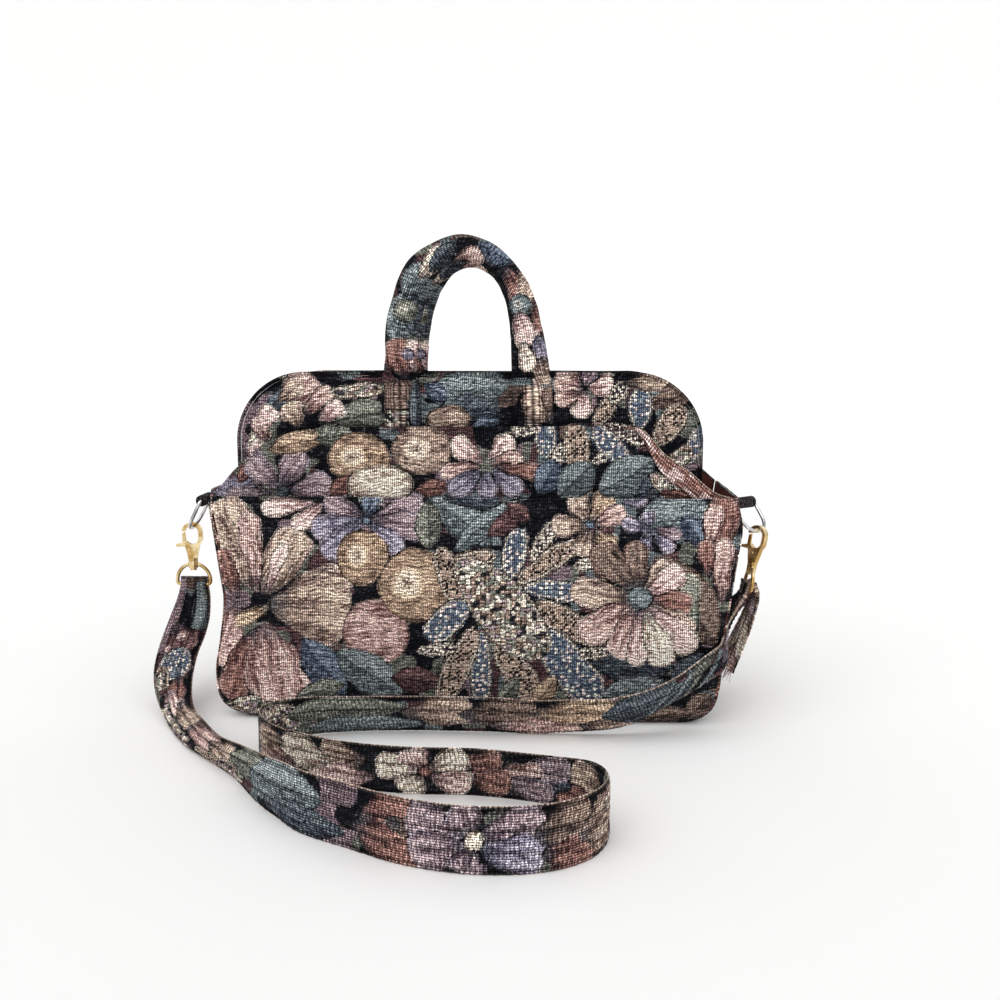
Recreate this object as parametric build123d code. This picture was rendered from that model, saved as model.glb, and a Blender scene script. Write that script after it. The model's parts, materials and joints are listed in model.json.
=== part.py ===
"""A tapestry carpet bag that stands on its base.

A stiff zip-topped compartment with two padded handles stands inside an open tote with a front
pocket. A shoulder strap is clipped to a D-ring at each side and lies on the floor in front.

Frame: millimetres, +Z up, X along the bag's width, -Y towards its front. The origin is on the
floor under the middle of the zip.
"""

import os
from math import cos, radians, sin

from build123d import *

# ---- Clearances
gap = 0.3  # between pieces that move past each other, and between curved pieces that touch
seat = 0.15  # between a board or core and the cloth round it
running = 0.1  # round a pin or stem that turns

# ---- Zip-topped compartment
panel_width = 304.0
panel_top = 226.0
panel_corner = 44.0  # radius of the two top corners
panel_foot_corner = 12.0
panel_cloth = 1.4
compartment_depth = 58.0  # outside to outside
stiffener = 1.6
lining = 0.6
piping_radius = 1.3

# ---- Tote round the compartment
base_half = 146.0  # half the flat part of the base
foot_corner = 12.5  # how far the sides turn up round the base's ends
gusset_top_half = 176.0
gusset_top = 149.0
cloth = 2.0  # quilted tapestry
base_cloth = 1.6
base_board = 2.4
wall_top = 192.0
wall_top_half = 112.0
front_wall_y = -40.0  # outer face of the middle wall
rear_wall_y = 42.0  # outer face of the rear wall
pocket_mouth_y = -50.0
pocket_bulge_y = -61.5
pocket_foot_y = -52.0
binding_height = 1.5

# ---- Zip
zip_half = 104.0
zip_level = 221.0
tooth_half_gap = 0.55
tooth_reach = 2.4
tooth_height = 2.2
tape_reach = 12.0
tape_thick = 0.7
strip_inner = 7.0
strip_thick = 1.2
slider_length = 11.0
slider_half_width = 4.3
slider_wing = 1.1
slider_start = 97.0
pull_length = 19.0
pull_pivot_rise = 3.4  # above the teeth's middle
pull_pin_radius = 0.6

# ---- Handles
handle_radius = 9.5
handle_core_radius = 6.5
handle_half_span = 43.0  # to the middle of each leg
handle_leg_top = 263.0  # where the legs end and the arch begins
handle_foot = 229.8
handle_y = 32.5
handle_tab_width = 28.0
handle_tab_thick = 3.0
handle_tab_foot = 183.0
handle_tab_top = 238.0
handle_cap = 3.5  # cloth that closes the tube over the core's end

# ---- D-rings and their tabs
ring_wire = 1.25
ring_half = 11.0
ring_length = 23.0
ring_bar_height = 139.3
ring_bar_x = 187.0
tab_width = 18.0
tab_wall = 2.4
tab_tongue = 6.0
left_ring_tilt = 27.0  # from hanging straight down
right_ring_tilt = 38.0
right_ring_turn = -50.0  # about the vertical
right_hook_lean = 9.0  # the strap draws the right hook in under the bag's side

# ---- Swivel hooks
hook_thick = 3.6
eye_inner_width = 9.6
eye_inner_height = 13.4
eye_wall = 2.3
eye_bottom = 9.8
hook_foot_half = 3.0
hook_shoulder_half = 5.4
mouth_low = 10.5
mouth_high = 19.0
gate_thick = 1.6
gate_slot = 2.2
gate_pivot = (-0.5, 6.5)
gate_lug = 2.0
gate_pin_radius = 0.75
slot_floor = 3.5
spring_thick = 0.6
flange_radius = 3.4
flange_height = 1.2
stem_radius = 1.3
stem_head_radius = 2.3
stem_head_height = 1.4
collar_radius = 3.3
collar_height = 5.4
loop_wire = 1.3
loop_half = 11.8
loop_drop = 19.0  # from the hook's foot down to the middle of the loop's bar
loop_corner = 2.4
eye_slack = 0.5  # over the ring's wire

# ---- Shoulder strap
strap_thick = 3.0
strap_end_half = 4.2
strap_end_drop = 9.0  # below the loop's bar
strap_end_rise = 5.0  # the slack fold stands above the bar
strap_end_width = 19.8


def slab(outline, front, back):
    """An outline drawn in X and Z, made solid from y = front to y = back."""
    return extrude(Plane.XZ.offset(-back) * outline, amount=back - front)


def block(x0, x1, y0, y1, z0, z1):
    """A box between its corners."""
    middle = ((x0 + x1) / 2, (y0 + y1) / 2, (z0 + z1) / 2)
    return Pos(*middle) * Box(x1 - x0, y1 - y0, z1 - z0)


def rod(start, end, radius):
    """A round bar from start to end."""
    axis = Vector(*end) - Vector(*start)
    plane = Plane(origin=start, z_dir=axis)
    return extrude(plane * Circle(radius), amount=axis.length)


def tube_along(path, radius):
    """A round tube along a path of lines and tangent arcs."""
    start = Plane(origin=path @ 0, z_dir=path % 0)
    return sweep(start * Circle(radius), path=path)


# ---- Zip-topped compartment

compartment_bottom = base_cloth + base_board + gap
panel_y = compartment_depth / 2
gusset_y = panel_y - panel_cloth
zip_panel_half = panel_width / 2 - panel_corner


def panel_outline(inset=0.0):
    """The compartment's outline in X and Z: wide round corners at the top, small ones below."""
    height = panel_top - compartment_bottom
    size = (panel_width - 2 * inset, height - 2 * inset)
    face = Pos(0, compartment_bottom + height / 2) * Rectangle(*size)
    rows = face.vertices().group_by(Axis.Y)
    face = fillet(rows[-1], panel_corner - inset)
    feet = face.vertices().group_by(Axis.Y)[0]
    return fillet(feet, panel_foot_corner - inset)


def compartment_gusset():
    """The band round the sides, foot and corners, open along the straight top for the zip."""
    band = slab(panel_outline(), -gusset_y, gusset_y)
    band -= slab(panel_outline(panel_cloth), -gusset_y - 1, gusset_y + 1)
    height = (panel_top - 2 * panel_cloth - stiffener, panel_top + 1)
    return band - block(-zip_panel_half, zip_panel_half, -panel_y, panel_y, *height)


def compartment_lining():
    """An open-topped liner inside the gusset and the stiffeners."""
    depth = gusset_y - stiffener - seat
    inset = panel_cloth + seat
    shell = slab(panel_outline(inset), -depth, depth)
    shell -= slab(panel_outline(inset + lining), -depth + lining, depth - lining)
    mouth = zip_level - tooth_height - 2.5
    return shell - block(-panel_width, panel_width, -depth - 1, depth + 1, mouth, panel_top + 1)


def piping(side):
    """The round edging along a panel's sides and top; side is -1 at the front, 1 at the rear."""
    out = piping_radius + gap
    x = panel_width / 2 + out
    z = panel_top + out
    reach = panel_corner + out
    points = [(-x, gusset_top / 3), (-x, z), (x, z), (x, gusset_top / 3)]
    y = side * (panel_y - 1.1)
    path = FilletPolyline(*[(px, y, pz) for px, pz in points], radius=reach)
    return tube_along(path, piping_radius)


def zip_strip(side):
    """The sloping cloth between a panel's top edge and the zip tape."""
    outer = panel_top - 0.8
    inner = zip_level + tape_thick / 2 + 0.1
    corners = [
        (side * gusset_y, outer - strip_thick),
        (side * gusset_y, outer),
        (side * strip_inner, inner + strip_thick),
        (side * strip_inner, inner),
        (side * (tape_reach + 0.5), inner),
    ]
    face = Plane.YZ.offset(-zip_panel_half + gap) * make_face(Polyline(*corners, close=True))
    return extrude(face, amount=2 * (zip_panel_half - gap), dir=(1, 0, 0))


def zip_tape(side):
    """One half of the zip: its tape, with its row of teeth drawn as one strip."""
    teeth = sorted((side * tooth_half_gap, side * tooth_reach))
    tape = sorted((side * (tooth_reach - 0.2), side * tape_reach))
    half = tooth_height / 2
    row = block(-zip_half, zip_half, *teeth, zip_level - half, zip_level + half)
    reach = zip_half + 2
    return row + block(-reach, reach, *tape, zip_level - tape_thick / 2, zip_level + tape_thick / 2)


def zip_stop(x):
    """A small metal clip across the ends of both rows of teeth."""
    half = tooth_height / 2
    reach = tooth_reach - 0.2
    return block(x - 0.9, x + 0.9, -reach, reach, zip_level - half, zip_level + half)


def zip_slider():
    """Two wings joined by a thin wedge at the nose, with flanges that grip the teeth."""
    x0 = slider_start - slider_length / 2
    x1 = slider_start + slider_length / 2
    inner = tooth_height / 2 + gap
    slot = tape_thick / 2 + gap
    body = block(x1 - 3, x1, -tooth_half_gap + gap, tooth_half_gap - gap, zip_level - inner - 0.5,
                 zip_level + inner + 0.5)
    for up in (-1, 1):
        wing = sorted((zip_level + up * inner, zip_level + up * (inner + slider_wing)))
        body += block(x0, x1, -slider_half_width, slider_half_width, *wing)
        for side in (-1, 1):
            grip = sorted((side * (tooth_reach + gap), side * slider_half_width))
            level = sorted((zip_level + up * slot, zip_level + up * (inner + 0.1)))
            body += block(x0, x1, *grip, *level)
    top = zip_level + inner + slider_wing
    pivot = zip_level + pull_pivot_rise
    lug = block(slider_start - 2.2, slider_start + 2.2, -1.3, 1.3, top - 0.2, pivot + 1.3)
    eye = rod((slider_start, -2, pivot), (slider_start, 2, pivot), pull_pin_radius + gap)
    return body + lug - eye


def zip_pull():
    """A flat tab on a bar through the slider's eye, lying along the zip."""
    pivot = zip_level + pull_pivot_rise
    half = pull_pin_radius
    pull = rod((slider_start, -3.2, pivot), (slider_start, 3.2, pivot), half)
    for side in (-1, 1):
        arm = sorted((side * 1.9, side * 3.2))
        pull += block(slider_start - 6, slider_start, *arm, pivot - half, pivot + half)
    tip = slider_start - pull_length
    tab = block(tip, slider_start - 4.5, -3.2, 3.2, pivot - half, pivot + half)
    hole = rod((tip + 3.2, 0, pivot - 2), (tip + 3.2, 0, pivot + 2), 1.4)
    return pull + tab - hole


# ---- Tote

gusset_foot_half = base_half + foot_corner


def side_line(z):
    """The tote's half width at height z, above the turned-up foot."""
    share = (z - foot_corner) / (gusset_top - foot_corner)
    return gusset_foot_half + share * (gusset_top_half - gusset_foot_half)


def tote_side(inset):
    """Half of the tote's front outline, from the base up its right side, moved in by inset."""
    turn = foot_corner - inset
    centre = (base_half, foot_corner)
    middle = (centre[0] + turn * sin(radians(45)), centre[1] - turn * cos(radians(45)))
    side = (gusset_foot_half - inset, foot_corner)
    arc = ThreePointArc((base_half, inset), middle, side)
    return arc, side, (gusset_top_half - inset, gusset_top)


def gusset_strip():
    """The right gusset's section in X and Z: a turned-up foot and a leaning side."""
    outer, low, high = tote_side(0)
    inner, low_in, high_in = tote_side(cloth)
    edges = [outer, Line(low, high), Line(high, high_in), Line(high_in, low_in), inner]
    return make_face(edges + [Line((base_half, cloth), (base_half, 0))])


def pocket_curve(inset):
    """The pocket's bulging section in Y and Z, from its foot to its mouth."""
    points = [
        (pocket_foot_y + inset, 0.0),
        (pocket_bulge_y + 3.5 + inset, 9.0),
        (pocket_bulge_y + inset, 42.0),
        (pocket_bulge_y + 5.0 + inset, 100.0),
        (pocket_mouth_y + inset, gusset_top - binding_height),
    ]
    return Spline(*points)


def side_shape():
    """The gusset's shape in Y and Z: the pocket's curve in front, the rear wall behind."""
    front = pocket_curve(cloth + gap)
    back = rear_wall_y - cloth
    level = gusset_top - binding_height
    edges = [
        front,
        Line((pocket_mouth_y + cloth + gap, level), (pocket_mouth_y + cloth + gap, gusset_top)),
        Line((pocket_mouth_y + cloth + gap, gusset_top), (back, gusset_top)),
        Line((back, gusset_top), (back, 0)),
        Line((back, 0), (pocket_foot_y + cloth + gap, 0)),
    ]
    return make_face(edges)


def tote_gusset():
    """The tote's right side; the left one is its mirror image."""
    strip = slab(gusset_strip(), pocket_bulge_y - 5, rear_wall_y)
    shape = extrude(Plane.YZ * side_shape(), amount=gusset_top_half + 20, dir=(1, 0, 0))
    return strip & shape


def base_panel():
    """The flat cloth under the bag, between the gussets' turned-up feet."""
    shape = extrude(Plane.YZ * side_shape(), amount=base_half, dir=(1, 0, 0))
    half = shape & block(0, base_half, pocket_bulge_y, rear_wall_y, 0, base_cloth)
    return half + mirror(half, about=Plane.YZ)


def wall_outline(inset, foot):
    """A tote wall in X and Z: leaning sides, sloping shoulders and a level top."""
    turn = foot_corner + 0.5
    right = [
        (base_half - inset, foot),
        (gusset_foot_half - 3.6 - inset, foot + 3.6),
        (gusset_foot_half - inset, turn),
        (gusset_top_half - inset, gusset_top),
        (gusset_top_half - inset - 20, gusset_top + 17),
        (wall_top_half + 22, wall_top - 11),
        (wall_top_half, wall_top),
    ]
    left = [(-x, z) for x, z in reversed(right)]
    return make_face(Polyline(*right, *left, close=True))


def pocket_outline():
    """The pocket in X and Z: the tote's outline up to the binding."""
    arc, low, _ = tote_side(0)
    level = gusset_top - binding_height
    high = (side_line(level), level)
    half = make_face([arc, Line(low, high), Line(high, (0, level)), Line((0, level), (0, 0)),
                      Line((0, 0), (base_half, 0))])
    return half + mirror(half, about=Plane.YZ)


def front_pocket():
    """The pocket's bulging front cloth."""
    outer = pocket_curve(0)
    inner = pocket_curve(cloth)
    top = gusset_top - binding_height
    edges = [outer, Line((pocket_mouth_y, top), (pocket_mouth_y + cloth, top)), inner,
             Line((pocket_foot_y + cloth, 0), (pocket_foot_y, 0))]
    reach = gusset_top_half + 10
    sheet = extrude(Plane.YZ.offset(-reach) * make_face(edges), amount=2 * reach, dir=(1, 0, 0))
    return sheet & slab(pocket_outline(), pocket_bulge_y - 5, pocket_mouth_y + 10)


def pocket_binding():
    """The pale folded edge along the pocket's mouth."""
    half = side_line(gusset_top - binding_height)
    y = (pocket_mouth_y, pocket_mouth_y + cloth)
    return block(-half, half, *y, gusset_top - binding_height, gusset_top)


# ---- Handles

def handle_path(foot):
    """Up one leg, round a half-circle arch and down the other, in X and Z at y = 0."""
    x = handle_half_span
    top = handle_leg_top + handle_half_span
    left = Line((-x, 0, foot), (-x, 0, handle_leg_top))
    arch = ThreePointArc((-x, 0, handle_leg_top), (0, 0, top), (x, 0, handle_leg_top))
    right = Line((x, 0, handle_leg_top), (x, 0, foot))
    return Wire([left, arch, right])


def handle(side):
    """A padded tube with a flat tab under each leg, sewn to a panel; side is -1 at the front."""
    shell = Pos(0, side * handle_y, 0) * tube_along(handle_path(handle_foot), handle_radius)
    face = side * (panel_y + 0.4)
    tab_y = sorted((face, face + side * handle_tab_thick))
    for x in (-handle_half_span, handle_half_span):
        edges = (x - handle_tab_width / 2, x + handle_tab_width / 2)
        shell += block(*edges, *tab_y, handle_tab_foot, handle_foot + 2)
        shell += block(x - handle_radius + 1.5, x + handle_radius - 1.5, *tab_y, handle_foot,
                       handle_tab_top)
    bore = tube_along(handle_path(handle_foot + handle_cap), handle_core_radius + seat)
    return shell - Pos(0, side * handle_y, 0) * bore


def handle_core(side):
    """The soft cord that fills a handle."""
    core = tube_along(handle_path(handle_foot + handle_cap + seat), handle_core_radius)
    return Pos(0, side * handle_y, 0) * core


# ---- D-rings, tabs, swivel hooks

def place(side, turn):
    """Where a ring's bar is, with local X pointing outwards and local Y along the bar."""
    return Pos(side * ring_bar_x, 0, ring_bar_height) * Rot(0, 0, turn if side > 0 else 180 + turn)


def d_ring(tilt):
    """A wire D in its own frame: bar along Y at the origin, tip hanging out along +X and down."""
    straight = ring_length - ring_half
    bend = 2.6
    line = FilletPolyline((0, 0), (0, ring_half), (straight, ring_half), radius=bend)
    arc = ThreePointArc(
        (straight, ring_half),
        (straight + ring_half * sin(radians(45)), ring_half * cos(radians(45))),
        (ring_length, 0),
    )
    half = tube_along(Wire(line.edges() + [arc]), ring_wire)
    return Rot(0, 90 - tilt, 0) * (half + mirror(half, about=Plane.XZ))


def ring_tab(side, turn):
    """A cloth loop round the ring's bar with a tongue back to the gusset's top edge."""
    radius = ring_wire + gap + tab_wall
    half = tab_width / 2
    spot = place(side, turn)
    loop = rod((0, -half, 0), (0, half, 0), radius)
    bore = rod((0, -half - 1, 0), (0, half + 1, 0), ring_wire + gap)
    level = ring_bar_height
    root = side_line(level + tab_tongue / 2) + 0.6
    near = Pos(side * root, 0, level) * (Plane.YZ * Rectangle(tab_width, tab_tongue))
    swing = radians(turn)
    far_x = side * (ring_bar_x - 2.2)
    across = Vector(-sin(swing), cos(swing), 0)
    far_plane = Plane(origin=(far_x, 0, level), x_dir=across, z_dir=(cos(swing), sin(swing), 0))
    far = far_plane * Rectangle(tab_width - 1, tab_tongue - 1)
    return spot * loop + loft([near, far]) - spot * bore


def hook_face():
    """The hook's flat shape in X and Z: an oval eye over a tapering body."""
    middle = eye_bottom + eye_inner_height / 2
    outer = Pos(0, middle) * Rot(0, 0, 90) * SlotOverall(
        eye_inner_height + 2 * eye_wall, eye_inner_width + 2 * eye_wall)
    inner = Pos(0, middle) * Rot(0, 0, 90) * SlotOverall(eye_inner_height, eye_inner_width)
    body = make_face(Polyline(
        (-hook_foot_half, 0), (hook_foot_half, 0), (hook_shoulder_half, eye_bottom + 1),
        (-hook_shoulder_half, eye_bottom + 1), close=True))
    wide = eye_inner_width / 2 + eye_wall
    left = (-wide - eye_inner_width / 2 + 0.5) / 2
    mouth = Pos(left, (mouth_low + mouth_high) / 2) * Rectangle(
        wide - eye_inner_width / 2 + 0.5 + 0.6, mouth_high - mouth_low)
    return outer + body - inner - mouth


def hook_body():
    """The cast hook with its gate slot, pin hole, swivel stem and rivet head."""
    body = slab(hook_face(), -hook_thick / 2, hook_thick / 2)
    body -= block(-9, 3.2, -gate_slot / 2, gate_slot / 2, slot_floor, mouth_low + 2.5)
    x, z = gate_pivot
    body -= rod((x, -5, z), (x, 5, z), gate_pin_radius + 0.02)
    body += Pos(0, 0, -flange_height / 2 + 0.1) * Cylinder(flange_radius, flange_height + 0.2)
    stem_foot = -flange_height - gap - collar_height - gap
    body += rod((0, 0, stem_foot - 0.2), (0, 0, 0), stem_radius)
    head = Pos(0, 0, stem_foot - stem_head_height / 2)
    return body + head * Cylinder(stem_head_radius, stem_head_height)


def hook_gate():
    """The gate that closes the hook's mouth, with its lug on the pin and its thumb lever."""
    x, z = gate_pivot
    wall = -eye_inner_width / 2
    arm = make_face(Polyline(
        (x - 1.2, z - 1.5), (x + 1.5, z + 1.3), (wall + 0.2, mouth_low + 1.6),
        (wall - 0.1, mouth_high - 0.5), (wall - eye_wall + 0.1, mouth_high - 1.4),
        (wall - eye_wall + 0.1, mouth_low + 0.6), (-11.6, mouth_low - 0.7),
        (-11.9, mouth_low - 2.6), (wall - 1.2, mouth_low - 2.4), close=True))
    plate = slab(arm + Pos(x, z) * Circle(gate_lug), -gate_thick / 2, gate_thick / 2)
    return plate - rod((x, -5, z), (x, 5, z), gate_pin_radius + running)


def gate_pin():
    """The rivet the gate turns on."""
    x, z = gate_pivot
    reach = hook_thick / 2 + 0.25
    return rod((x, -reach, z), (x, reach, z), gate_pin_radius)


def gate_spring():
    """The leaf on the slot's floor that pushes the gate's lug."""
    x, z = gate_pivot
    top = z - gate_lug - 0.2
    half = gate_thick / 2 - 0.1
    return block(x - 2.6, x + 2.4, -half, half, top - spring_thick, top)


loop_middle = loop_drop - loop_corner - 0.6  # the arch's centre below the hook's foot


def swivel_loop():
    """The strap's loop: a drilled collar on the hook's stem, and a D of wire under it."""
    top = -flange_height - gap
    collar = rod((0, 0, top - collar_height), (0, 0, top), collar_radius)
    bend = loop_corner * (1 - cos(radians(45)))
    join = 2.4
    low = -loop_drop
    inner = loop_half - loop_corner
    rise = (loop_half**2 - join**2) ** 0.5
    crown = (loop_half * cos(radians(40)), 0, loop_half * sin(radians(40)) - loop_middle)
    path = Wire([
        Line((0, 0, low), (inner, 0, low)),
        ThreePointArc((inner, 0, low), (loop_half - bend, 0, low + bend),
                      (loop_half, 0, low + loop_corner)),
        Line((loop_half, 0, low + loop_corner), (loop_half, 0, -loop_middle)),
        ThreePointArc((loop_half, 0, -loop_middle), crown, (join, 0, rise - loop_middle)),
    ])
    half = tube_along(path, loop_wire)
    bore = rod((0, 0, top - collar_height - 1), (0, 0, top + 1), stem_radius + running)
    return half + mirror(half, about=Plane.YZ) + collar - bore


def hook_place(side, tilt, turn, lean):
    """The hook's frame, hung from its ring's tip; its flat shape lies across the ring's wire."""
    out = ring_length * sin(radians(tilt))
    tip = Pos(out, 0, -ring_length * cos(radians(tilt)))
    spot = (place(side, turn) * tip).position
    wire = eye_bottom + eye_inner_height - eye_slack - ring_wire
    return Pos(*spot) * Rot(0, lean, 0) * Pos(0, 0, -wire)


# ---- Shoulder strap

# Each station is a point on the strap's middle line and half of its width as a vector. Where the
# strap stands on the floor its height follows from the floor, so only x and y are given.
STRAP_STATIONS = [
    ((-199.0, -6.0, 56.0), (12.0, 1.0, 0.5)),
    ((-202.0, -13.0, 44.0), (12.0, 4.0, 1.0)),
    ((-203.5, -26.0, 31.0), (11.5, 5.0, 2.5)),
    ((-198.5, -47.0, 19.0), (11.2, 2.0, 3.0)),
    ((-184.0, -77.0), (9.6, -1.0, 6.0)),
    ((-163.0, -111.0), (7.0, 0.0, 7.5)),
    ((-144.0, -136.0), (5.5, -3.0, 8.5)),
    ((-124.0, -158.0), (5.0, -4.0, 10.5)),
    ((-100.0, -192.0), (3.0, -3.0, 14.8)),
    ((-78.0, -217.0), (0.0, 0.0, 16.9)),
    ((-46.0, -237.0), (0.0, 0.0, 17.0)),
    ((-8.0, -256.0), (0.0, 0.0, 17.0)),
    ((27.0, -262.0), (0.0, 0.0, 17.0)),
    ((58.0, -256.0), (0.0, 0.0, 17.0)),
    ((77.0, -241.0), (0.0, 0.0, 17.0)),
    ((84.0, -222.0), (0.0, -1.0, 17.0)),
    ((77.0, -203.0), (0.0, -3.0, 16.8)),
    ((57.0, -190.5), (0.0, -5.5, 16.1)),
    ((16.0, -180.0), (0.0, -6.0, 15.9)),
    ((-27.0, -178.0), (0.0, -6.0, 15.9)),
    ((-66.0, -170.0), (1.0, -6.0, 15.9)),
    ((-97.0, -153.0), (2.0, -6.0, 15.8)),
    ((-115.0, -132.0), (2.0, -6.2, 15.8)),
    ((-116.0, -113.0), (0.0, -6.5, 15.7)),
    ((-102.0, -98.0), (0.0, -7.5, 15.2)),
    ((-80.0, -89.0), (0.0, -8.5, 14.7)),
    ((-40.0, -85.0), (0.0, -9.0, 14.4)),
    ((10.0, -85.0), (0.0, -9.0, 14.4)),
    ((60.0, -86.0), (-0.5, -9.5, 14.0)),
    ((100.0, -86.0, 18.0), (-4.0, -10.0, 12.4)),
    ((124.0, -84.0, 27.0), (-5.5, -12.0, 9.5)),
    ((141.0, -81.0, 36.0), (-6.0, -12.5, 9.0)),
    ((151.0, -78.4, 41.5), (-5.5, -11.5, 9.5)),
    ((163.5, -71.0, 48.5), (-4.0, -9.0, 9.5)),
    ((169.0, -46.0, 55.0), (-1.5, -13.5, 5.0)),
    ((174.0, -28.0, 63.0), (0.0, -13.5, 2.0)),
    ((181.0, -16.0, 71.0), (0.0, -12.0, 0.0)),
]
TAIL_STATIONS = [
    ((194.5, -13.0, 80.0), (0.5, -9.6, 0.0)),
    ((189.0, -19.0, 67.0), (3.0, -12.0, -1.0)),
    ((180.0, -26.0, 51.0), (4.5, -13.5, -1.5)),
    ((171.0, -32.0, 34.0), (4.5, -14.0, -2.0)),
]


def strap_sections(stations, first, last):
    """A flat rectangle across the strap at each station, square to the way the strap runs."""
    spots = [Vector(*(spot if len(spot) == 3 else (*spot, 0))) for spot, _ in stations]
    spots = [first, *spots, last]
    sections = []
    for i, (spot, half) in enumerate(stations):
        along = spots[i + 2] - spots[i]
        width = Vector(*half)
        normal = along.cross(width).normalized() * (strap_thick / 2)
        rest = width.Z + abs(normal.Z)
        middle = Vector(*spot) if len(spot) == 3 else Vector(*spot, rest)
        corners = [middle - width - normal, middle + width - normal, middle + width + normal,
                   middle - width + normal]
        sections.append(Face(Wire.make_polygon(corners, close=True)))
    return sections


def strap_end():
    """The folded end round a swivel loop's bar, drawn in the hook's frame with the bar along X."""
    half = strap_end_width / 2
    foot = -loop_drop - strap_end_drop
    crown = -loop_drop + strap_end_rise
    profile = Pos(0, (foot + crown) / 2) * Rectangle(2 * strap_end_half, crown - foot)
    profile += Pos(0, crown) * Circle(strap_end_half)
    fold = extrude(Plane.YZ.offset(-half) * profile, amount=2 * half, dir=(1, 0, 0))
    room = rod((0, -9, -loop_middle), (0, 9, -loop_middle), loop_half - loop_wire - 2 * gap)
    fold &= room + block(-half, half, -9, 9, foot, -loop_middle)
    return fold - rod((-half - 1, 0, -loop_drop), (half + 1, 0, -loop_drop), loop_wire + gap)


def end_section(hung, towards):
    """The strap's rectangle just inside its folded end, and its middle, in the bag's frame."""
    level = -loop_drop - strap_end_drop + 1.0
    half = strap_end_width / 2
    depth = towards * strap_thick / 2
    corners = [(-half, -depth), (half, -depth), (half, depth), (-half, depth)]
    points = [(hung * Pos(x, y, level)).position for x, y in corners]
    return Face(Wire.make_polygon(points, close=True)), (hung * Pos(0, 0, level)).position


def shoulder_strap(left_hung, right_hung):
    """The whole strap: left end, hanging leg, floor loop, rise past the corner, right end."""
    first, start = end_section(left_hung, -1)
    last, finish = end_section(right_hung, 1)
    band = loft([first, *strap_sections(STRAP_STATIONS, start, finish), last], ruled=True)
    tail = loft(strap_sections(TAIL_STATIONS, Vector(194, -12, 92), Vector(174, -35, 26)),
                ruled=True)
    return band + left_hung * strap_end() + right_hung * strap_end() + tail


def build():
    """Every piece by name."""
    pieces = {}
    panel = panel_outline()
    board = panel_outline(panel_cloth + seat)
    top = panel_top - 2 * panel_cloth - stiffener - 1
    below = block(-panel_width, panel_width, -panel_y, panel_y, 0, top)
    for name, side in (("front", -1), ("rear", 1)):
        outer = sorted((side * panel_y, side * gusset_y))
        inner = sorted((side * gusset_y, side * (gusset_y - stiffener)))
        pieces[f"compartment_{name}_panel"] = slab(panel, *outer)
        pieces[f"{name}_stiffener"] = slab(board, *inner) & below
        pieces[f"{name}_piping"] = piping(side)
        pieces[f"zip_strip_{name}"] = zip_strip(side)
        pieces[f"zip_tape_{name}"] = zip_tape(side)
        pieces[f"{name}_handle"] = handle(side)
        pieces[f"{name}_handle_core"] = handle_core(side)
    pieces["compartment_gusset"] = compartment_gusset()
    pieces["compartment_lining"] = compartment_lining()
    pieces["zip_top_stop"] = zip_stop(zip_half + 1.2)
    pieces["zip_bottom_stop"] = zip_stop(-zip_half - 1.2)
    pieces["zip_slider"] = zip_slider()
    pieces["zip_pull"] = zip_pull()

    inner_wall = wall_outline(cloth + gap, base_cloth)
    pieces["tote_front_wall"] = slab(inner_wall, front_wall_y, front_wall_y + cloth)
    pieces["tote_rear_wall"] = slab(wall_outline(0, 0), rear_wall_y - cloth, rear_wall_y)
    pieces["right_gusset"] = tote_gusset()
    pieces["left_gusset"] = mirror(pieces["right_gusset"], about=Plane.YZ)
    pieces["base_panel"] = base_panel()
    board_y = (front_wall_y + cloth + gap, rear_wall_y - cloth - gap)
    board_half = base_half - 2
    pieces["base_board"] = block(-board_half, board_half, *board_y, base_cloth,
                                 base_cloth + base_board)
    pieces["front_pocket"] = front_pocket()
    pieces["pocket_binding"] = pocket_binding()

    hung = {}
    left = ("left", -1, left_ring_tilt, 0.0, 0.0, 0.0)
    right = ("right", 1, right_ring_tilt, right_ring_turn, right_hook_lean, -90.0)
    for name, side, tilt, turn, lean, loop_turn in (left, right):
        pieces[f"{name}_ring_tab"] = ring_tab(side, turn)
        pieces[f"{name}_d_ring"] = place(side, turn) * d_ring(tilt)
        hang = hook_place(side, tilt, turn, lean)
        hook = hang * Rot(0, 0, turn)
        pieces[f"{name}_hook"] = hook * hook_body()
        pieces[f"{name}_gate"] = hook * hook_gate()
        pieces[f"{name}_gate_pin"] = hook * gate_pin()
        pieces[f"{name}_gate_spring"] = hook * gate_spring()
        hung[name] = hang * Rot(0, 0, loop_turn)
        pieces[f"{name}_swivel_loop"] = hung[name] * swivel_loop()
    pieces["shoulder_strap"] = shoulder_strap(hung["left"], hung["right"])
    return pieces


def main():
    """Write each piece to its own STEP file."""
    os.makedirs("parts", exist_ok=True)
    for name, shape in build().items():
        export_step(shape, os.path.join("parts", name + ".step"))


if __name__ == "__main__":
    main()
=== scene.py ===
import json
from math import pi, radians

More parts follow.
